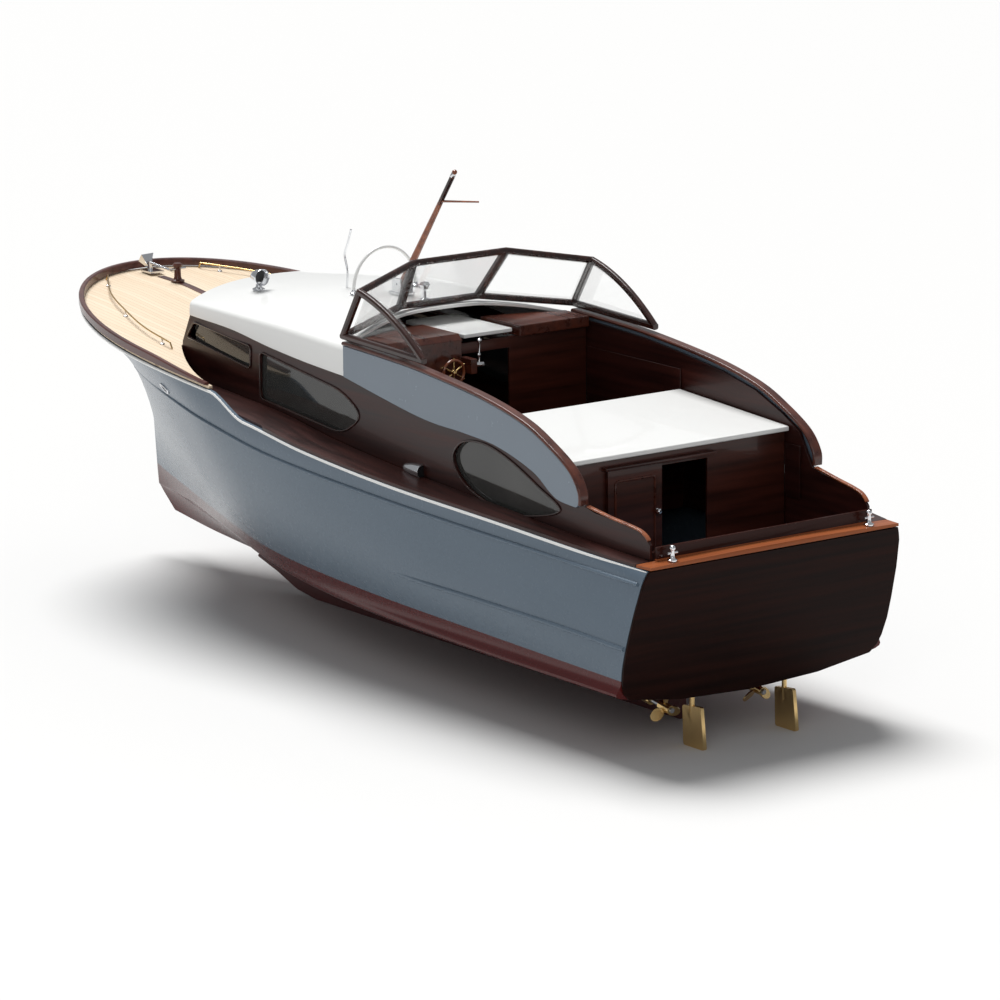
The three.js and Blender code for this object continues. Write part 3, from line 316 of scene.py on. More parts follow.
def mesh_of(name, points, faces):
    mesh = bpy.data.meshes.new(name)
    mesh.from_pydata([row(p) for p in points], [], faces)
    tidy = bmesh.new()
    tidy.from_mesh(mesh)
    bmesh.ops.remove_doubles(tidy, verts=tidy.verts, dist=0.00002)
    bmesh.ops.recalc_face_normals(tidy, faces=tidy.faces)
    tidy.to_mesh(mesh)
    tidy.free()
    return mesh


def skin(name, loops, closed=True, caps=True):
    """A mesh skinned over loops of equal length. Caps close the ends with a polygon each."""
    count = len(loops[0])
    points = [p for loop in loops for p in loop]
    faces = []
    for i in range(len(loops) - 1):
        for j in range(count if closed else count - 1):
            k = (j + 1) % count
            faces.append((i * count + j, i * count + k, (i + 1) * count + k, (i + 1) * count + j))
    if caps:
        faces.append(tuple(range(count)))
        faces.append(tuple((len(loops) - 1) * count + j for j in reversed(range(count))))
    return mesh_of(name, points, faces)


def skinned(name, loops, material, **options):
    return finish_piece(name, skin(name, loops), material, **options)


def body_of(node):
    return next(body for body, nodes in frame["record"]["behaviour"]["bodies"].items() if node in nodes)


def dress(node, material, bevel=0.35, smooth_angle=35, slot=None):
    """A finished copy of a CAD node: flats cleaned, edges bevelled, curves shaded smooth."""
    mesh = frame["nodes"][node].data.copy()
    tidy = bmesh.new()
    tidy.from_mesh(mesh)
    bmesh.ops.remove_doubles(tidy, verts=tidy.verts, dist=0.00002)
    bmesh.ops.dissolve_limit(tidy, angle_limit=math.radians(0.5), verts=tidy.verts, edges=tidy.edges)
    tidy.to_mesh(mesh)
    tidy.free()
    return finish_piece(f"{node}_finished", mesh, material, body_of(node), [node], slot, bevel, smooth_angle)


def swept(name, path, section, material, ups=None, closed=False, **options):
    """A section of (across, up) points carried along a path, with its up direction kept near vertical."""
    loops = []
    count = len(path)
    for i, point in enumerate(path):
        before = Vector(path[(i - 1) % count] if closed else path[max(i - 1, 0)])
        after = Vector(path[(i + 1) % count] if closed else path[min(i + 1, count - 1)])
        along = (after - before).normalized()
        up = Vector(ups[i]) if ups else Vector((0, 0, 1))
        across = along.cross(up).normalized()
        up = across.cross(along).normalized()
        loops.append([Vector(point) + across * a + up * b for a, b in section])
    if closed:
        loops.append(loops[0])
    return finish_piece(name, skin(name, loops, caps=not closed), material, **options)


def ring_section(radius, sides=12, squash=1.0):
    return [
        (radius * math.cos(2 * math.pi * i / sides), squash * radius * math.sin(2 * math.pi * i / sides))
        for i in range(sides)
    ]


def box_section(width, height, corner=0.8):
    """A rectangle with cut corners, for the bevel to round."""
    w, h, c = width / 2, height / 2, corner
    left = [(-w + c, -h), (-w, -h + c), (-w, h - c), (-w + c, h)]
    right = [(-a, -b) for a, b in left]
    return [*left[1:], *right, left[0]]


def wire(name, path, radius, material="chrome", up=(0, 0, 1), **options):
    """A round wire or tube along a path; up is any direction the path never follows."""
    return swept(name, path, ring_section(radius), material, ups=[up] * len(path), **options)


def turned(name, profile, centre, material, axis=(0, 0, 1), steps=28, **options):
    """A turned piece: profile is (radius, distance along axis) from end to end."""
    turn = Vector((0, 0, 1)).rotation_difference(Vector(axis))
    loops = []
    for radius, distance in profile:
        loop = []
        for i in range(steps):
            angle = 2 * math.pi * i / steps
            reach = max(radius, 0.02)
            spot = Vector((reach * math.cos(angle), reach * math.sin(angle), distance))
            loop.append(Vector(centre) + turn @ spot)
        loops.append(loop)
    return finish_piece(name, skin(name, loops), material, **options)


def fair(pairs):
    """A smooth function through a few (x, value) pairs, held level outside them."""

    def slope(i):
        a, b = pairs[max(i - 1, 0)], pairs[min(i + 1, len(pairs) - 1)]
        return (b[1] - a[1]) / (b[0] - a[0])

    def value(x):
        if x <= pairs[0][0]:
            return pairs[0][1]
        if x >= pairs[-1][0]:
            return pairs[-1][1]
        i = next(k for k, pair in enumerate(pairs) if pair[0] > x) - 1
        width = pairs[i + 1][0] - pairs[i][0]
        t = (x - pairs[i][0]) / width
        return (
            (2 * t**3 - 3 * t**2 + 1) * pairs[i][1]
            + (t**3 - 2 * t**2 + t) * width * slope(i)
            + (3 * t**2 - 2 * t**3) * pairs[i + 1][1]
            + (t**3 - t**2) * width * slope(i + 1)
        )

    return value


def mix(a, b, t):
    return a + (b - a) * t


def smoothstep(x, low, high):
    t = min(max((x - low) / (high - low), 0), 1)
    return t * t * (3 - 2 * t)


def spread(start, end, steps):
    return [mix(start, end, i / steps) for i in range(steps + 1)]


def spline(points, steps):
    """Points along a smooth curve through the given ones."""
    at = [Vector(p) for p in points]
    found = []
    for i in range(len(at) - 1):
        a, b, c, d = at[max(i - 1, 0)], at[i], at[i + 1], at[min(i + 2, len(at) - 1)]
        for k in range(steps):
            t = k / steps
            square = (2 * a - 5 * b + 4 * c - d) * t**2
            cube = (3 * b - a - 3 * c + d) * t**3
            found.append(0.5 * (2 * b + (c - a) * t + square + cube))
    return [*found, at[-1]]


# Hull form, as in the CAD source

low_sheer = fair([(0, 93), (60, 96.5), (170, 104), (300, 111), (410, 120), (500, 131), (660, 137)])
high_sheer = fair([(500, 145), (620, 154), (700, 161), (780, 170), (850, 179), (880, 183)])
stem_x = fair([(-42, 765), (-36, 800), (-22, 830), (0, 851), (60, 858), (120, 865), (184, LENGTH)])
keel_z = fair([(0, -22), (0.25, -34), (0.5, -42), (0.8, -40), (0.93, -32), (1, -24)])
HULL_LINES = [
    (lambda s: 0.0, keel_z),
    (
        fair([(0, 117), (0.2, 114), (0.42, 104), (0.6, 82), (0.78, 42), (0.9, 16), (1, 0.8)]),
        fair([(0, -11), (0.4, -14), (0.7, -13), (0.9, -8), (1, -6)]),
    ),
    (
        fair([(0, 126), (0.2, 122), (0.42, 115), (0.6, 97), (0.78, 54), (0.9, 24), (1, 0.8)]),
        lambda s: 3.0,
    ),
    (
        fair(
            [
                *[(0, 128), (0.2, 133), (0.4, 134), (0.6, 121), (0.72, 98)],
                *[(0.82, 70), (0.9, 44), (0.96, 21), (1, 0.8)],
            ]
        ),
        fair([(0, 34), (0.4, 38), (0.7, 46), (1, 60)]),
    ),
    (
        fair(
            [
                *[(0, 124), (0.12, 131), (0.35, 143), (0.53, 147), (0.645, 143)],
                *[(0.72, 131), (0.8, 112), (0.88, 84), (0.95, 47), (1, 0.8)],
            ]
        ),
        fair([(0, 82), (0.15, 88), (0.36, 97), (0.53, 106), (0.65, 118), (0.75, 125), (0.85, 129), (1, 134)]),
    ),
]


def sheer(x):
    return mix(low_sheer(x), high_sheer(x), smoothstep(x, 490, 540))


def deck_half(x):
    if x < 500:
        return 150 - 30 * ((500 - x) / 500) ** 2
    u = min((x - 500) / (LENGTH - 500), 1)
    return max(150 * math.sqrt(1 - u**3.3), 0.8)


def station_x(s, z):
    return mix(26 * (1 - z / TRANSOM_HEIGHT), stem_x(z), s)


def deck_edge(s):
    x = s * LENGTH
    for _ in range(8):
        x = station_x(s, sheer(x))
    return Vector((x, deck_half(x), sheer(x)))


def station_side(s, per_span):
    key = [Vector((station_x(s, z(s)), half(s), z(s))) for half, z in HULL_LINES]
    return spline([*key, deck_edge(s)], per_span)


def hull_point(s, line):
    half, z = HULL_LINES[line]
    return Vector((station_x(s, z(s)), half(s), z(s)))


# Hull: planking, mouldings and the stem


def hull():
    stations = [1 - (1 - t) ** 1.4 for t in spread(0, 1, 110)]
    outer = [stations_loop(s, 6, 0) for s in stations]
    inner = [stations_loop(s, 6, 2.6) for s in stations if s <= 0.945][::-1]
    points = []
    loops = [*outer, *inner]
    count = len(outer[0])
    faces = []
    for loop in loops:
        points.extend(loop)
    last = len(outer) - 1
    for i in range(len(loops) - 1):
        if i == last:
            continue
        for j in range(count - 1):
            faces.append((i * count + j, i * count + j + 1, (i + 1) * count + j + 1, (i + 1) * count + j))
    faces.append(tuple(range(count)))  # transom
    faces.extend(gunwale_faces(stations, count, len(inner)))
    mesh = mesh_of("hull_planking", points, faces)
    piece = finish_piece("hull_planking", mesh, "hull_paint", "boat", ["hull"], "hull_paint")
    return piece


def stations_loop(s, per_span, inset):
    side = []
    for point in stations_side_inset(s, per_span, inset):
        side.append(point)
    port = [Vector((p.x, max(p.y, 0.2), p.z)) for p in side[1:]][::-1]
    starboard = [Vector((p.x, -max(p.y, 0.2), p.z)) for p in side[1:]]
    return [*port, side[0], *starboard]


def stations_side_inset(s, per_span, inset):
    found = []
    for point in station_side(s, per_span):
        lift = inset if point.z < 0 else 0
        forward = inset + 0.3 if s == 0 and inset else 0
        found.append(Vector((point.x + forward, max(point.y - inset, 0), point.z + lift)))
    return found


def gunwale_faces(stations, count, inner_count):
    """Faces along the top edges, from the outer skin to the inner one."""
    faces = []
    outer_total = len(stations)
    for i in range(inner_count - 1):
        a, b = i, i + 1
        c, d = outer_total + inner_count - 2 - i, outer_total + inner_count - 1 - i
        for j in (0, count - 1):
            faces.append((a * count + j, b * count + j, c * count + j, d * count + j))
    return faces


def knuckle_moulding(side):
    """Rounded strake along the knuckle, dying away towards the bow."""
    path = []
    for s in spread(0.004, 0.86, 90):
        point = hull_point(s, 4)
        path.append(Vector((point.x, side * (point.y + 0.1), point.z)))
    loops = strake_loops(path, side, lambda i: 2.0 * (1 - smoothstep(i / 90, 0.8, 1.0)) + 0.1, 3.2)
    word = "port" if side > 0 else "starboard"
    skinned(f"knuckle_strake_{word}", loops, "hull_paint", slot="hull_paint", smooth_angle=60)


def strake_loops(path, side, proud, height):
    loops = []
    for i, point in enumerate(path):
        out = proud(i)
        loop = []
        for k in range(9):
            angle = math.pi * (k / 8 - 0.5)
            swell = Vector((0, side * (out * math.cos(angle) - 0.4), height * math.sin(angle) / 2 + 0.3))
            loop.append(point + swell)
        loop.append(point + Vector((0, -side * 1.2, 0.3)))
        loops.append(loop)
    return loops


def lower_strake(side):
    """Stepped strake low on the quarter, fading out forward."""
    heights = fair([(23, 31), (95, 34), (200, 36), (292, 37), (330, 40)])
    path = []
    for x in spread(19, 330, 60):
        path.append(Vector((x, side * side_half(x, heights(x)), heights(x))))
    loops = strake_loops(path, side, lambda i: 2.2 * (1 - smoothstep(i / 60, 0.7, 1.0)) + 0.05, 4.0)
    word = "port" if side > 0 else "starboard"
    skinned(f"quarter_strake_{word}", loops, "hull_paint", slot="hull_paint", smooth_angle=60)


def side_half(x, z):
    """Half-breadth of the hull's outside at a height above the waterline."""
    low, high = 0.0, 1.0
    for _ in range(22):
        s = (low + high) / 2
        low, high = (s, high) if station_x(s, z) < x else (low, s)
    side = station_side(low, 6)
    for a, b in zip(side, side[1:]):
        if a.z <= z <= b.z and b.z > a.z:
            return mix(a.y, b.y, (z - a.z) / (b.z - a.z))
    return side[-1].y


def sheer_moulding(side):
    """Half-round moulding along the deck edge, following the step in the sheer up to the stem. Its white
    paint is partly the moulding's own colour and partly a painted highlight along the hull's top edge.
    """
    path = []
    for x in [*spread(1, 480, 50), *spread(484, 548, 26), *spread(552, LENGTH - 2, 60)]:
        path.append(Vector((x, side * deck_half(x), sheer(x) - 1.8)))
    word = "port" if side > 0 else "starboard"
    loops = strake_loops(path, side, lambda i: 1.1, 2.6)
    # White paint here also stands in for the highlight along the hull's top edge.
    skinned(f"sheer_moulding_{word}", loops, "white_paint", slot="white_paint", smooth_angle=60)


hull()
for direction in SIDES.values():
    knuckle_moulding(direction)
    lower_strake(direction)
    sheer_moulding(direction)
dress("keel", "bottom_red", 0.6)
dress("transom_board", "transom_wood", 0.5)
dress("transom_deck", "stern_wood", 0.6, 40)


# Decks and toe rail

DECK = 2.2
GAP = 0.3
TRUNK_FRONT = 655


def camber(x, y):
    rise = 5 * smoothstep(x, 540, 700) * (1 - smoothstep(x, 790, 868))
    return rise * (1 - (y / deck_half(x)) ** 2)


def foredeck_top(x, y):
    return sheer(x) + GAP + DECK + camber(x, y)


def front_x(y):
    return TRUNK_FRONT + 33 * (1 - (y / 100) ** 2)


def riser_point(t):
    a, b, c = Vector((541, 145.5, 0)), Vector((592, 138, 0)), Vector((TRUNK_FRONT - 1, 101.5, 0))
    return (1 - t) ** 2 * a + 2 * t * (1 - t) * b + t * t * c


def foredeck():
    """Planked deck from the trunk's front and the two risers out to the bow."""
    inner = [riser_point(t) for t in spread(0, 1, 18)]
    inner += [Vector((front_x(y) + 0.4, y, 0)) for y in spread(99, -99, 36)]
    inner += [Vector((p.x, -p.y, 0)) for p in (riser_point(t) for t in spread(1, 0, 18))]
    angles = spread(0, 1, len(inner) - 1)
    loops = []
    outer = []
    for share in angles:
        turn = 1 - abs(2 * share - 1)  # 0 at the rails' aft ends, 1 at the stem
        x = 541 + (LENGTH - 1.5 - 541) * (1 - (1 - turn) ** 2.2)
        outer.append(Vector((x, math.copysign(deck_half(x) - 0.8, 0.5 - share), 0)))
    outer[len(outer) // 2].y = 0
    for a, b in zip(inner, outer):
        line = [a.lerp(b, t) for t in spread(0, 1, 16)]
        top = [Vector((p.x, p.y, foredeck_top(p.x, p.y))) for p in line]
        under = [p - Vector((0, 0, DECK)) for p in top[::-1]]
        loops.append([*top, *under])
    skinned("foredeck_planks", loops, "deck_wood", nodes=["foredeck"], slot="deck_wood", bevel=0.3)


def margin_plank(name, path, width, thickness=0.5, material="rail_wood"):
    """Thin board on the foredeck along a plan line."""
    loops = []
    for i, point in enumerate(path):
        along = (path[min(i + 1, len(path) - 1)] - path[max(i - 1, 0)]).normalized()
        across = Vector((-along.y, along.x, 0)) * width / 2
        ends = [point + across, point - across]
        low = [Vector((p.x, p.y, foredeck_top(p.x, p.y) - 0.4)) for p in ends]
        high = [Vector((p.x, p.y, foredeck_top(p.x, p.y) + thickness)) for p in ends]
        loops.append([low[0], low[1], high[1], high[0]])
    return finish_piece(name, skin(name, loops), material, slot="mahogany", bevel=0.2)


def toe_rail():
    xs = [544 + (LENGTH - 544) * (1 - (1 - t) ** 2) for t in spread(0, 1, 70)]
    port = [Vector((x, deck_half(x) if x < LENGTH - 0.2 else 0, 0)) for x in xs]
    path = [*port, *[Vector((p.x, -p.y, 0)) for p in port[-2::-1]]]
    loops = []
    for i, point in enumerate(path):
        along = (path[min(i + 1, len(path) - 1)] - path[max(i - 1, 0)]).normalized()
        out = Vector((-along.y, along.x, 0))
        out = out if out.dot(Vector((point.x - 500, point.y, 0))) > 0 else -out
        low = sheer(point.x) + DECK + 3 * GAP
        high = low + mix(2, 6.3, smoothstep(point.x, 540, 640))
        inboard = [(-3.4, low), (-3.2, high - 0.9), (-2.2, high)]
        section = [*inboard, (0.6, high + 0.1), (1.4, high - 1.0), (1.5, low)]
        loops.append([Vector((point.x + out.x * d, point.y + out.y * d, z)) for d, z in section])
    skinned("toe_rail_finished", loops, "rail_wood", nodes=["toe_rail"], slot="mahogany", bevel=0.3)


foredeck()
toe_rail()
margin_plank("king_plank", [Vector((x, 0, 0)) for x in spread(700, 842, 24)], 7)
for word, direction in SIDES.items():
    dress(f"side_deck_{word}", "mahogany", 0.4)


# Trunk cabin: sides with windows, raked front, roof

wall_half = fair(
    [
        *[(0, 105), (25, 107.5), (60, 110.5), (100, 112.4), (150, WALL_HALF)],
        *[(520, 112), (600, 107), (TRUNK_FRONT, 100)],
    ]
)
FORE_WINDOW = [(536, 161, 4), (535, 180, 4), (631, 185, 4), (645, 170.5, 4)]
MIDDLE_WINDOW = [(522, 139, 6), (521, 178, 6), (402, 164, 16), (374, 148, 14), (402, 129, 16)]
AFT_WINDOW = [
    *[(253, 138), (240, 150), (212, 153), (180, 146), (145, 132)],
    *[(116, 118), (150, 107), (190, 104), (230, 113), (249, 126)],
]


def rounded_outline(corners, steps=8):
    found = []
    count = len(corners)
    for i, (x, z, radius) in enumerate(corners):
        corner = Vector((x, z))
        start = corner + (Vector(corners[i - 1][:2]) - corner).normalized() * radius
        end = corner + (Vector(corners[(i + 1) % count][:2]) - corner).normalized() * radius
        for t in spread(0, 1, steps):
            found.append((1 - t) ** 2 * start + 2 * t * (1 - t) * corner + t * t * end)
    return found


def egg_outline():
    """The aft window's smooth closed outline."""
    around = [(x, z, 0) for x, z in [*AFT_WINDOW[-2:], *AFT_WINDOW, *AFT_WINDOW[:2]]]
    line = spline(around, 6)
    return [Vector((p.x, p.y)) for p in line[12 : 12 + 6 * len(AFT_WINDOW)]]


def window_trim(side, name, outline):
    """Bead round a side window, on the outer face of the cabin side."""
    word = "port" if side > 0 else "starboard"
    path = [Vector((p.x, side * (wall_half(p.x) + 0.35), p.y)) for p in outline]
    path = [p for i, p in enumerate(path) if (p - path[i - 1]).length > 0.4]
    swept(
        f"window_bead_{name}_{word}",
        path,
        ring_section(0.9, 10, 0.8),
        "frame_wood",
        ups=[(0, side, 0)] * len(path),
        closed=True,
        slot="varnished_trim",
    )


for word, direction in SIDES.items():
    dress(f"cabin_side_{word}", "mahogany", 0.4, 50)
    dress(f"side_glass_{word}", "cabin_glass", 0.1, 50, "clear_glass")
    window_trim(direction, "fore", rounded_outline(FORE_WINDOW))
    window_trim(direction, "middle", rounded_outline(MIDDLE_WINDOW))
    window_trim(direction, "aft", egg_outline())
dress("cabin_front", "mahogany", 0.4, 50)
dress("front_glass", "cabin_glass", 0.1, 50, "clear_glass")

skirt_foot = fair([(395, 177), (450, 180), (500, 184), (560, 190), (640, 190.5), (680, 191)])
shoulder = fair([(395, 202), (500, 205), (600, 204), (680, 200)])
crown = fair([(395, 216.5), (480, 218), (540, 218), (600, 214.5), (680, 207)])


def skirt_half(x):
    return wall_half(x) + GAP + 2.8


def roof_top(x, y):
    half = skirt_half(x) - 5
    return crown(x) - (crown(x) - shoulder(x)) * min(abs(y) / half, 1) ** 2.2


def roof_fore(y):
    return 672 - 34 * (y / 100) ** 2


def roof_aft(y):
    return 421 if abs(y) < 38 else mix(421, 397, (abs(y) - 38) / 76)


def roof_loop(t, inset):
    shares = [1, 1, 0.985, 0.93, 0.86, 0.75, 0.62, 0.5, 0.37, 0.25, 0.12, 0]
    side = []
    for i, share in enumerate(shares):
        y = share * (skirt_half(mix(397, 640, t)) - inset)
        x = mix(roof_aft(y), roof_fore(y), t)
        edge = skirt_half(x) - inset
        foot = skirt_foot(x)
        if i == 0:
            side.append(Vector((x, edge, foot)))
        elif i == 1:
            side.append(Vector((x, edge - 0.3, mix(foot, shoulder(x), 0.6) - inset)))
        elif i == 2:
            side.append(Vector((x, edge - 2, mix(foot, shoulder(x), 0.9) - inset)))
        else:
            side.append(Vector((x, share * edge, roof_top(x, share * edge) - inset)))
    return [*spline(side, 3), *[Vector((p.x, -p.y, p.z)) for p in spline(side, 3)[-2::-1]]]


def roof():
    loops = []
    for t in spread(0, 1, 44):
        loops.append([*roof_loop(t, 0), *roof_loop(t, 2.8)[::-1]])
    options = {"nodes": ["cabin_roof"], "slot": "white_paint", "bevel": 0.7, "segments": 3}
    skinned("roof_shell", loops, "white_paint", **options)


roof()


# Coamings along the bridge and aft cabin

COAMING_TOP = [
    *[(395.6, 205.5), (340, 203.5), (289, 200.5), (212, 192), (158, 181)],
    *[(125, 168), (98, 153), (86, 138), (85, 127)],
]
COAMING_FOOT = [
    *[(92, 124.5), (112, 126), (124, 130.5), (146, 143)],
    *[(190, 154.5), (233, 158), (293, 161), (395.6, 177)],
]


def edge_line(points, steps, inset=0.0):
    line = spline([(x, z, 0) for x, z in points], steps)
    found = []
    for i, point in enumerate(line):
        along = (line[min(i + 1, len(line) - 1)] - line[max(i - 1, 0)]).normalized()
        found.append(point + Vector((-along.y, along.x, 0)) * inset)
    return found


def coaming(side, word):
    upper = edge_line(COAMING_TOP, 7, 3.3)
    lower = edge_line(COAMING_FOOT[::-1], 8)
    loops = []
    for i in range(len(upper)):
        a, b = upper[i], lower[min(round(i * (len(lower) - 1) / (len(upper) - 1)), len(lower) - 1)]
        belly = [a.lerp(b, t) for t in spread(0, 1, 4)]
        out = [Vector((p.x, side * (WALL_HALF + 4.1), p.y)) for p in belly]
        inside = [Vector((p.x, side * (WALL_HALF + GAP), p.y)) for p in belly[::-1]]
        loops.append([*out, *inside])
    options = {"nodes": [f"coaming_{word}"], "slot": "hull_paint", "bevel": 0.5}
    skinned(f"coaming_band_{word}", loops, "coaming_paint", **options)
    centre = edge_line(COAMING_TOP, 8, 1.5)
    path = [Vector((p.x, side * (WALL_HALF + 0.9), p.y)) for p in centre]
    swept(
        f"coaming_cap_finished_{word}",
        path,
        box_section(9.1, 3.0, 1.0),
        "varnished_trim",
        ups=smooth_ups(path),
        nodes=[f"coaming_cap_{word}"],
        slot="varnished_trim",
        smooth_angle=50,
        bevel=0.3,
    )


def smooth_ups(path):
    """Up directions square to a path that lies in an upright fore-and-aft plane."""
    ups = []
    for i in range(len(path)):
        along = (path[min(i + 1, len(path) - 1)] - path[max(i - 1, 0)]).normalized()
        ups.append(Vector((along.z, 0, -along.x)))
    return ups


for word, direction in SIDES.items():
    coaming(direction, word)


# Bulkheads, floors and lift-off top

for node in ("bridge_bulkhead", "cockpit_bulkhead", "aft_cabin_front"):
    dress(node, "cross_mahogany", 0.4)
for node in ("bridge_floor", "cockpit_floor"):
    dress(node, "mahogany", 0.4)
dress("helm_console", "varnished_trim", 0.8)
dress("starboard_dash", "varnished_trim", 0.8)
dress("hatch_runners", "varnished_trim", 0.5)
dress("aft_cabin_top", "white_paint", 1.0)
dress("companion_hatch", "white_paint", 0.8)
dress("cabin_door", "cross_mahogany", 0.4)
dress("equipment_tray", "deck_wood", 0.4)
dress("battery", "battery_wrap", 2.0)
dress("speed_controller", "plastic", 0.8)
dress("receiver", "plastic", 0.8)
dress("rudder_servo", "plastic", 0.6)
for word in SIDES:
    dress(f"motor_{word}", "steel", 0.5, 40)
    dress(f"strut_{word}", "brass", 0.4, 45)
    dress(f"prop_shaft_{word}", "steel", 0.2, 45)
    dress(f"propeller_{word}", "brass", 0.25, 45)
    dress(f"rudder_{word}", "brass", 0.5, 40)
dress("tie_bar", "brass", 0.2)
dress("servo_horn", "plastic", 0.2)
dress("pushrod", "steel", 0.2)


# Windshield

CORNER_TOP = Vector((374, 115, 248))
CORNER_FOOT = Vector((398, 114.5, 209.4))
MIDDLE_TOP = Vector((398, 46, 260))
MIDDLE_FOOT = Vector((427, 38.5, 220))
TAIL = Vector((290, 114, 205.8))
RAIL_WIDTH = 5.4
MULLION_WIDTH = 7.2


def port_side(p, side):
    return Vector((p.x, side * p.y, p.z))


def side_pane_edge(t):
    middle = Vector((mix(CORNER_TOP.x, TAIL.x, 0.52), CORNER_TOP.y, CORNER_TOP.z - 9))
    return (1 - t) ** 2 * CORNER_TOP + 2 * t * (1 - t) * middle + t * t * TAIL


def windshield_bars():
    def bar(name, path, width=RAIL_WIDTH):
        section = box_section(width, RAIL_WIDTH, 1.3)
        ups = [(0.3, 0.05, 1)] * len(path)
        swept(name, path, section, "frame_wood", ups=ups, bevel=0.3, smooth_angle=50)

    for word, side in SIDES.items():
        across = [(CORNER_TOP, MIDDLE_TOP), (CORNER_FOOT, MIDDLE_FOOT)]
        rails = [*across, (CORNER_TOP, CORNER_FOOT), (CORNER_FOOT, TAIL)]
        for k, (a, b) in enumerate([*rails, (MIDDLE_TOP, MIDDLE_FOOT)]):
            reach = (b - a).normalized() * 1.2
            ends = [port_side(a - reach, side), port_side(b + reach, side)]
            bar(f"windshield_bar_{k}_{word}", ends, RAIL_WIDTH if k < len(rails) else MULLION_WIDTH)
        bar(f"windshield_edge_{word}", [port_side(side_pane_edge(t), side) for t in spread(0, 1, 20)])
    for k, point in enumerate((MIDDLE_TOP, MIDDLE_FOOT)):
        bar(f"windshield_cross_{k}", [port_side(point, 1), port_side(point, -1)])
    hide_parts("windshield_frame")


windshield_bars()
dress("windshield_glass", "clear_glass", 0, 20, "clear_glass")


# Fittings


def board(name, low, high, material, body="boat", bevel=0.3):
    """A thin board with eased edges, between two opposite corners."""
    corners = [(low[1], low[2]), (high[1], low[2]), (high[1], high[2]), (low[1], high[2])]
    loops = [[Vector((x, y, z)) for y, z in corners] for x in (low[0], high[0])]
    return finish_piece(name, skin(name, loops), material, body, bevel=bevel)


def deck_rail(side, word):
    """Low guard rail on the foredeck, on three short stanchions."""
    plan = spline([(852, 48, 0), (800, 78, 0), (750, 95, 0), (700, 108, 0), (652, 114, 0)], 8)
    path = [Vector((p.x, side * p.y, foredeck_top(p.x, p.y) + 5)) for p in plan]
    path = [path[0] + Vector((3, 0, -4.8)), *path, path[-1] + Vector((-3, 0, -4.8))]
    wire(f"deck_rail_{word}", path, 0.7, "brass")
    stanchion = [(0, 0), (2.2, 0), (2.0, 0.8), (0.8, 1.4), (0.8, 4.6), (0, 4.8)]
    for k, spot in enumerate((plan[3], plan[16], plan[-4])):
        foot = (spot.x, side * spot.y, foredeck_top(spot.x, spot.y) - 0.1)
        turned(f"rail_stanchion_{k}_{word}", stanchion, foot, "chrome")


def hawse_vent(side, word):
    """Slanted oval vent in the bow, ringed in chrome."""
    rim = []
    for k in range(32):
        angle = 2 * math.pi * k / 32
        x = 633 + 6.5 * math.cos(angle)
        z = 132 + 2.8 * math.sin(angle) + 1.6 * math.cos(angle)
        rim.append(Vector((x, side * (side_half(x, z) + 0.3), z)))
    wire(f"hawse_ring_{word}", [*rim, rim[0]], 0.9, "chrome", (0, side, 0))
    # A flat near-black disc fills the ring: painted shade for the vent's shaded inside.
    dark = mesh_of(f"hawse_mouth_{word}", rim, [tuple(range(32))])
    finish_piece(f"hawse_mouth_{word}", dark, "dark")


def clamshell(side, word):
    """Half-round vent on the cabin side, with its mouth aft."""
    middle, radius, face = 117, 6, WALL_HALF + GAP
    arc = [math.pi * (k / 14 - 0.5) for k in range(15)]
    loops = []
    for t in spread(0, 0.995, 14):
        swell = radius * math.sqrt(1 - t * t)
        x = mix(293, 320, t)
        half_round = [(face + swell * math.cos(a), middle + swell * math.sin(a)) for a in arc]
        loops.append([Vector((x, side * y, z)) for y, z in half_round])
    skinned(f"clamshell_{word}", loops, "chrome", smooth_angle=60, bevel=0.3)
    # A flat near-black sheet closes the mouth: painted shade for the vent's shaded inside.
    mouth = [Vector((292.8, p.y - side * 0.6, middle + 0.86 * (p.z - middle))) for p in loops[0]]
    dark = mesh_of(f"clamshell_mouth_{word}", mouth, [tuple(range(len(arc)))])
    finish_piece(f"clamshell_mouth_{word}", dark, "dark")


def stern_bollard(side, word):
    centre = (2.5, side * 95, TRANSOM_HEIGHT + GAP + DECK + 1.6)
    profile = [(0, 0), (4, 0), (4, 1), (2.2, 1.8), (1.7, 3), (1.7, 7.4)]
    profile += [(2.4 * math.sin(a) + 0.02, 9.6 - 2.4 * math.cos(a)) for a in spread(0.9, math.pi, 9)]
    turned(f"bollard_{word}", profile, centre, "chrome", nodes=[f"stern_bitt_{word}"], smooth_angle=50)
    pin = Vector(centre) + Vector((0, 0, 6))
    wire(f"bollard_pin_{word}", [pin - Vector((0, 4.5, 0)), pin + Vector((0, 4.5, 0))], 0.9)


def low_coaming_cap(side, word):
    """Thin varnished rail on the low coaming beside the cockpit. Its bright varnish colour is partly the
    rail's own and partly a painted highlight along the coaming's top edge.
    """
    top = fair([(14, 107), (20, 113.5), (28, 117), (60, 121.5), (88, 126)])
    path = [Vector((x, side * (wall_half(x) - 1.2), top(x) + 0.7)) for x in spread(17, 84, 30)]
    swept(f"low_cap_{word}", path, box_section(3.8, 1.6, 0.4), "stern_varnish", bevel=0.2, smooth_angle=50)


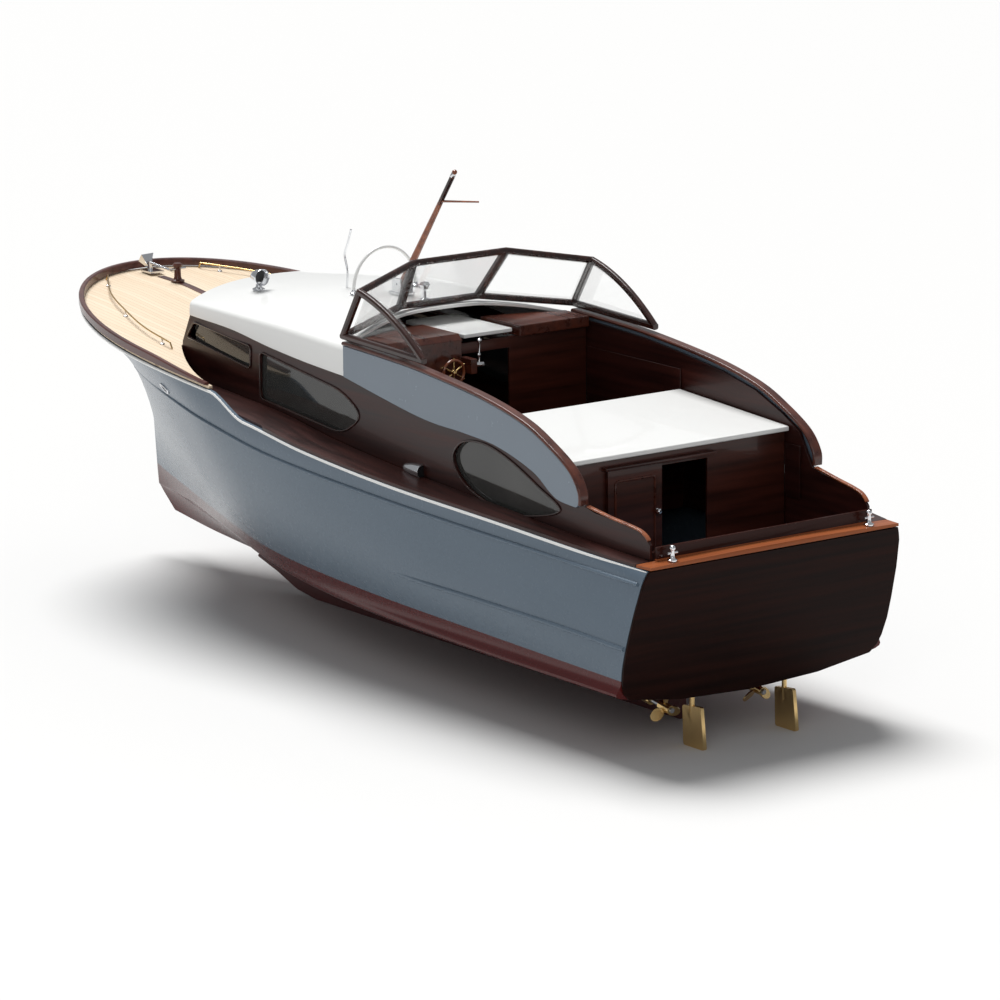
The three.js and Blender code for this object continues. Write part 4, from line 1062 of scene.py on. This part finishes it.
def helm():
    """Wooden wheel rim on brass spokes, round a brass hub."""
    centre = Vector((358, 36, 176))
    body = body_of("steering_wheel")
    circle = [Vector((0, math.cos(a), math.sin(a))) for a in spread(0, 2 * math.pi, 40)[:-1]]
    ring = ring_section(1.2, 10)
    ups = [(1, 0, 0)] * len(circle)
    rim = [centre + 10 * c for c in circle]
    swept("wheel_rim", rim, ring, "stern_varnish", ups, True, body=body, nodes=["steering_wheel"])
    for k in range(6):
        angle = math.pi * k / 3 + math.pi / 6
        tip = Vector((0, math.cos(angle), math.sin(angle)))
        wire(f"wheel_spoke_{k}", [centre + 1.5 * tip, centre + 12 * tip], 0.7, "brass", (1, 0, 0), body=body)
    hub = [(0, -2.6), (1.6, -2.4), (2.6, -0.6), (2.6, 1), (1.8, 2), (1.8, 7), (0, 7.2)]
    turned("wheel_hub", hub, centre, "brass", (1, 0, 0), body=body)


def roof_fittings():
    arc = [Vector((503, 31 * math.cos(a), 221 + 33 * math.sin(a))) for a in spread(0, math.pi, 36)]
    wire("hoop_tube", arc, 1.4, "white_paint", (1, 0, 0), nodes=["roof_hoop"])
    foot_profile = [(0, 0), (3.2, 0), (3, 1), (1.9, 1.8), (1.5, 3.4), (0, 3.4)]
    for word, side in SIDES.items():
        turned(f"hoop_foot_{word}", foot_profile, (503, 31 * side, 218.3), "chrome")
    staff = spline([(533, 17, 217.6), (532, 17, 232), (535.5, 17, 245), (530.5, 17, 256), (526, 17, 267)], 8)
    wire("burgee_staff", staff, 0.9, "chrome", (0, 1, 0))
    lamp = [(0, 0), (4.2, 0), (4.2, 1), (1.6, 2), (1.4, 8), (4.2, 9.4), (4.6, 12.5), (3.4, 14.4), (0, 15.2)]
    turned("pedestal_lamp", lamp, (447, 0, 218), "chrome")
    dress("mast_tabernacle", "chrome", 0.3)
    dress("mast", "stern_varnish", 0.15, 50)
    foot, top = Vector((478, 0, 227)), Vector((404, 0, 328))
    along = (top - foot).normalized()
    dark = [foot.lerp(top, t) for t in (0.66, 0.955)]
    swept("mast_upper", dark, ring_section(2.1, 16), "frame_wood", [(1, 0, 0)] * 2, body="mast")
    cap = [(0, -4), (2.2, -4), (2.2, -1), (1.4, 0.2), (0, 0.6)]
    turned("mast_cap", cap, top - along, "chrome", along, body="mast")


def cowl_light():
    """Cowl on a short stand, its mouth facing aft and filled with a disc of painted shade."""
    x, y = 596, 62
    z = roof_top(x, y) + 0.6
    body = body_of("searchlight")
    stand = [(0, 0), (5.4, 0), (5.2, 1.2), (3, 2.2), (2.3, 3.4), (2.3, 7), (0, 7)]
    turned("cowl_stand", stand, (x, y, z), "chrome", body=body)
    outside = [(0, -7.2), (2.6, -7), (4.2, -6), (5.4, -3), (6.5, 1.5), (7.2, 5.4), (7, 6)]
    inside = [(6.5, 5.6), (5.2, 0), (3.4, -2), (0, -2.4)]
    centre, aft = (x, y, z + 11), (-1, 0, 0)
    options = {"body": body, "nodes": ["searchlight"], "smooth_angle": 50}
    turned("cowl_bowl", [*outside, *inside], centre, "chrome", aft, **options)
    # Near-black disc inside the bowl: painted shade for the cowl's shaded inside.
    turned("cowl_mouth", [(0, -0.4), (5.0, -0.4), (5.2, 0.3), (0, 0.5)], centre, "dark", aft, body=body)


def bow_fittings():
    z = foredeck_top(821, 0) + GAP
    post = [(0, 0), (6, 0), (6, 1.2), (3.8, 2), (3, 4), (2.8, 11.5), (4, 13), (4.2, 14.6), (3, 16), (0, 16.2)]
    turned("bitt_post", post, (815, 0, z), "varnished_trim", nodes=["mooring_bitt"])
    pin = Vector((815, 0, z + 11))
    wire("bitt_pin", [pin - Vector((0, 8, 0)), pin + Vector((0, 8, 0))], 1.1)
    dress("bow_anchor", "chrome", 0.3, 40)
    deck = foredeck_top(743, 0)
    board("windlass_base", (729, -8, deck - 0.3), (757, 8, deck + 2), "varnished_trim", bevel=0.8)
    drum = [(0, -8), (3.6, -8), (3.6, -6.6), (2.0, -5.4), (2.0, 5.4), (3.6, 6.6), (3.6, 8), (0, 8)]
    turned("windlass_drum", drum, (743, 0, deck + 6), "chrome", (0, 1, 0))
    post = [(0, 0), (4.4, 0), (4.2, 1), (1.8, 2.2), (1.8, 5), (0, 5)]
    turned("windlass_post", post, (743, 0, deck + 2), "chrome")


def door_trim():
    """Raised bead round the door's panel, and its knob."""
    body = body_of("cabin_door")
    corners = [(22, 72, 3), (22, 132, 3), (60, 132, 3), (60, 72, 3)]
    path = [Vector((116.7, p.x, p.y)) for p in rounded_outline(corners, 4)]
    swept("door_bead", path, ring_section(1.0, 8), "varnished_trim", [(1, 0, 0)] * len(path), True, body=body)
    knob = [(0, 0), (2.4, 0), (2.2, 0.6), (1.0, 1), (1.0, 1.8), (2.3, 2.8), (2.3, 3.8), (1.3, 4.7), (0, 4.8)]
    turned("door_knob", knob, (117, 20, 104), "chrome", (-1, 0, 0), body=body)


for word, direction in SIDES.items():
    deck_rail(direction, word)
    hawse_vent(direction, word)
    clamshell(direction, word)
    stern_bollard(direction, word)
    low_coaming_cap(direction, word)
    inner, outer = sorted((direction * 108.3, direction * 109.1))
    board(f"bridge_lining_{word}", (250.4, inner, 71), (373.4, outer, 178), "mahogany")
    board(f"cockpit_lining_{word}", (101, inner, 98), (119.5, outer, 140), "mahogany")
helm()
dress("throttle_lever", "chrome", 0.1, 60)
roof_fittings()
cowl_light()
bow_fittings()
door_trim()


# Studio


def floor():
    size = 12
    mesh = bpy.data.meshes.new("floor")
    corners = [(-size, -size, 0), (size, -size, 0), (size, size, 0), (-size, size, 0)]
    mesh.from_pydata(corners, [], [(0, 1, 2, 3)])
    piece = bpy.data.objects.new("floor", mesh)
    bpy.context.scene.collection.objects.link(piece)
    shader = Shader("floor", (0.66, 0.655, 0.645), 0.8)
    mesh.materials.append(shader.material)


def softbox(name, place, size, power, target=(0, 0, 0.15)):
    light = bpy.data.objects.new(name, bpy.data.lights.new(name, "AREA"))
    light.data.shape = "RECTANGLE"
    light.data.size, light.data.size_y = size
    light.data.energy = power
    light.location = place
    light.rotation_euler = (Vector(target) - Vector(place)).to_track_quat("-Z", "Y").to_euler()
    bpy.context.scene.collection.objects.link(light)


def overhead(strength, spread_angle, direction):
    """One large soft light from high on the starboard bow."""
    light = bpy.data.objects.new("overhead", bpy.data.lights.new("overhead", "SUN"))
    light.data.energy = strength
    light.data.angle = math.radians(spread_angle)
    light.rotation_euler = Vector(direction).to_track_quat("Z", "Y").to_euler()
    bpy.context.scene.collection.objects.link(light)


floor()
overhead(4.0, 34, (0.42, -0.12, 0.9))
softbox("quarter", (-2.4, 1.9, 1.5), (1.2, 1.2), 9)
world = bpy.data.worlds.new("studio")
world.use_nodes = True
world.node_tree.nodes["Background"].inputs[0].default_value = (0.95, 0.97, 1.0, 1)
world.node_tree.nodes["Background"].inputs[1].default_value = 0.34
bpy.context.scene.world = world
bpy.context.scene.view_settings.view_transform = "Standard"
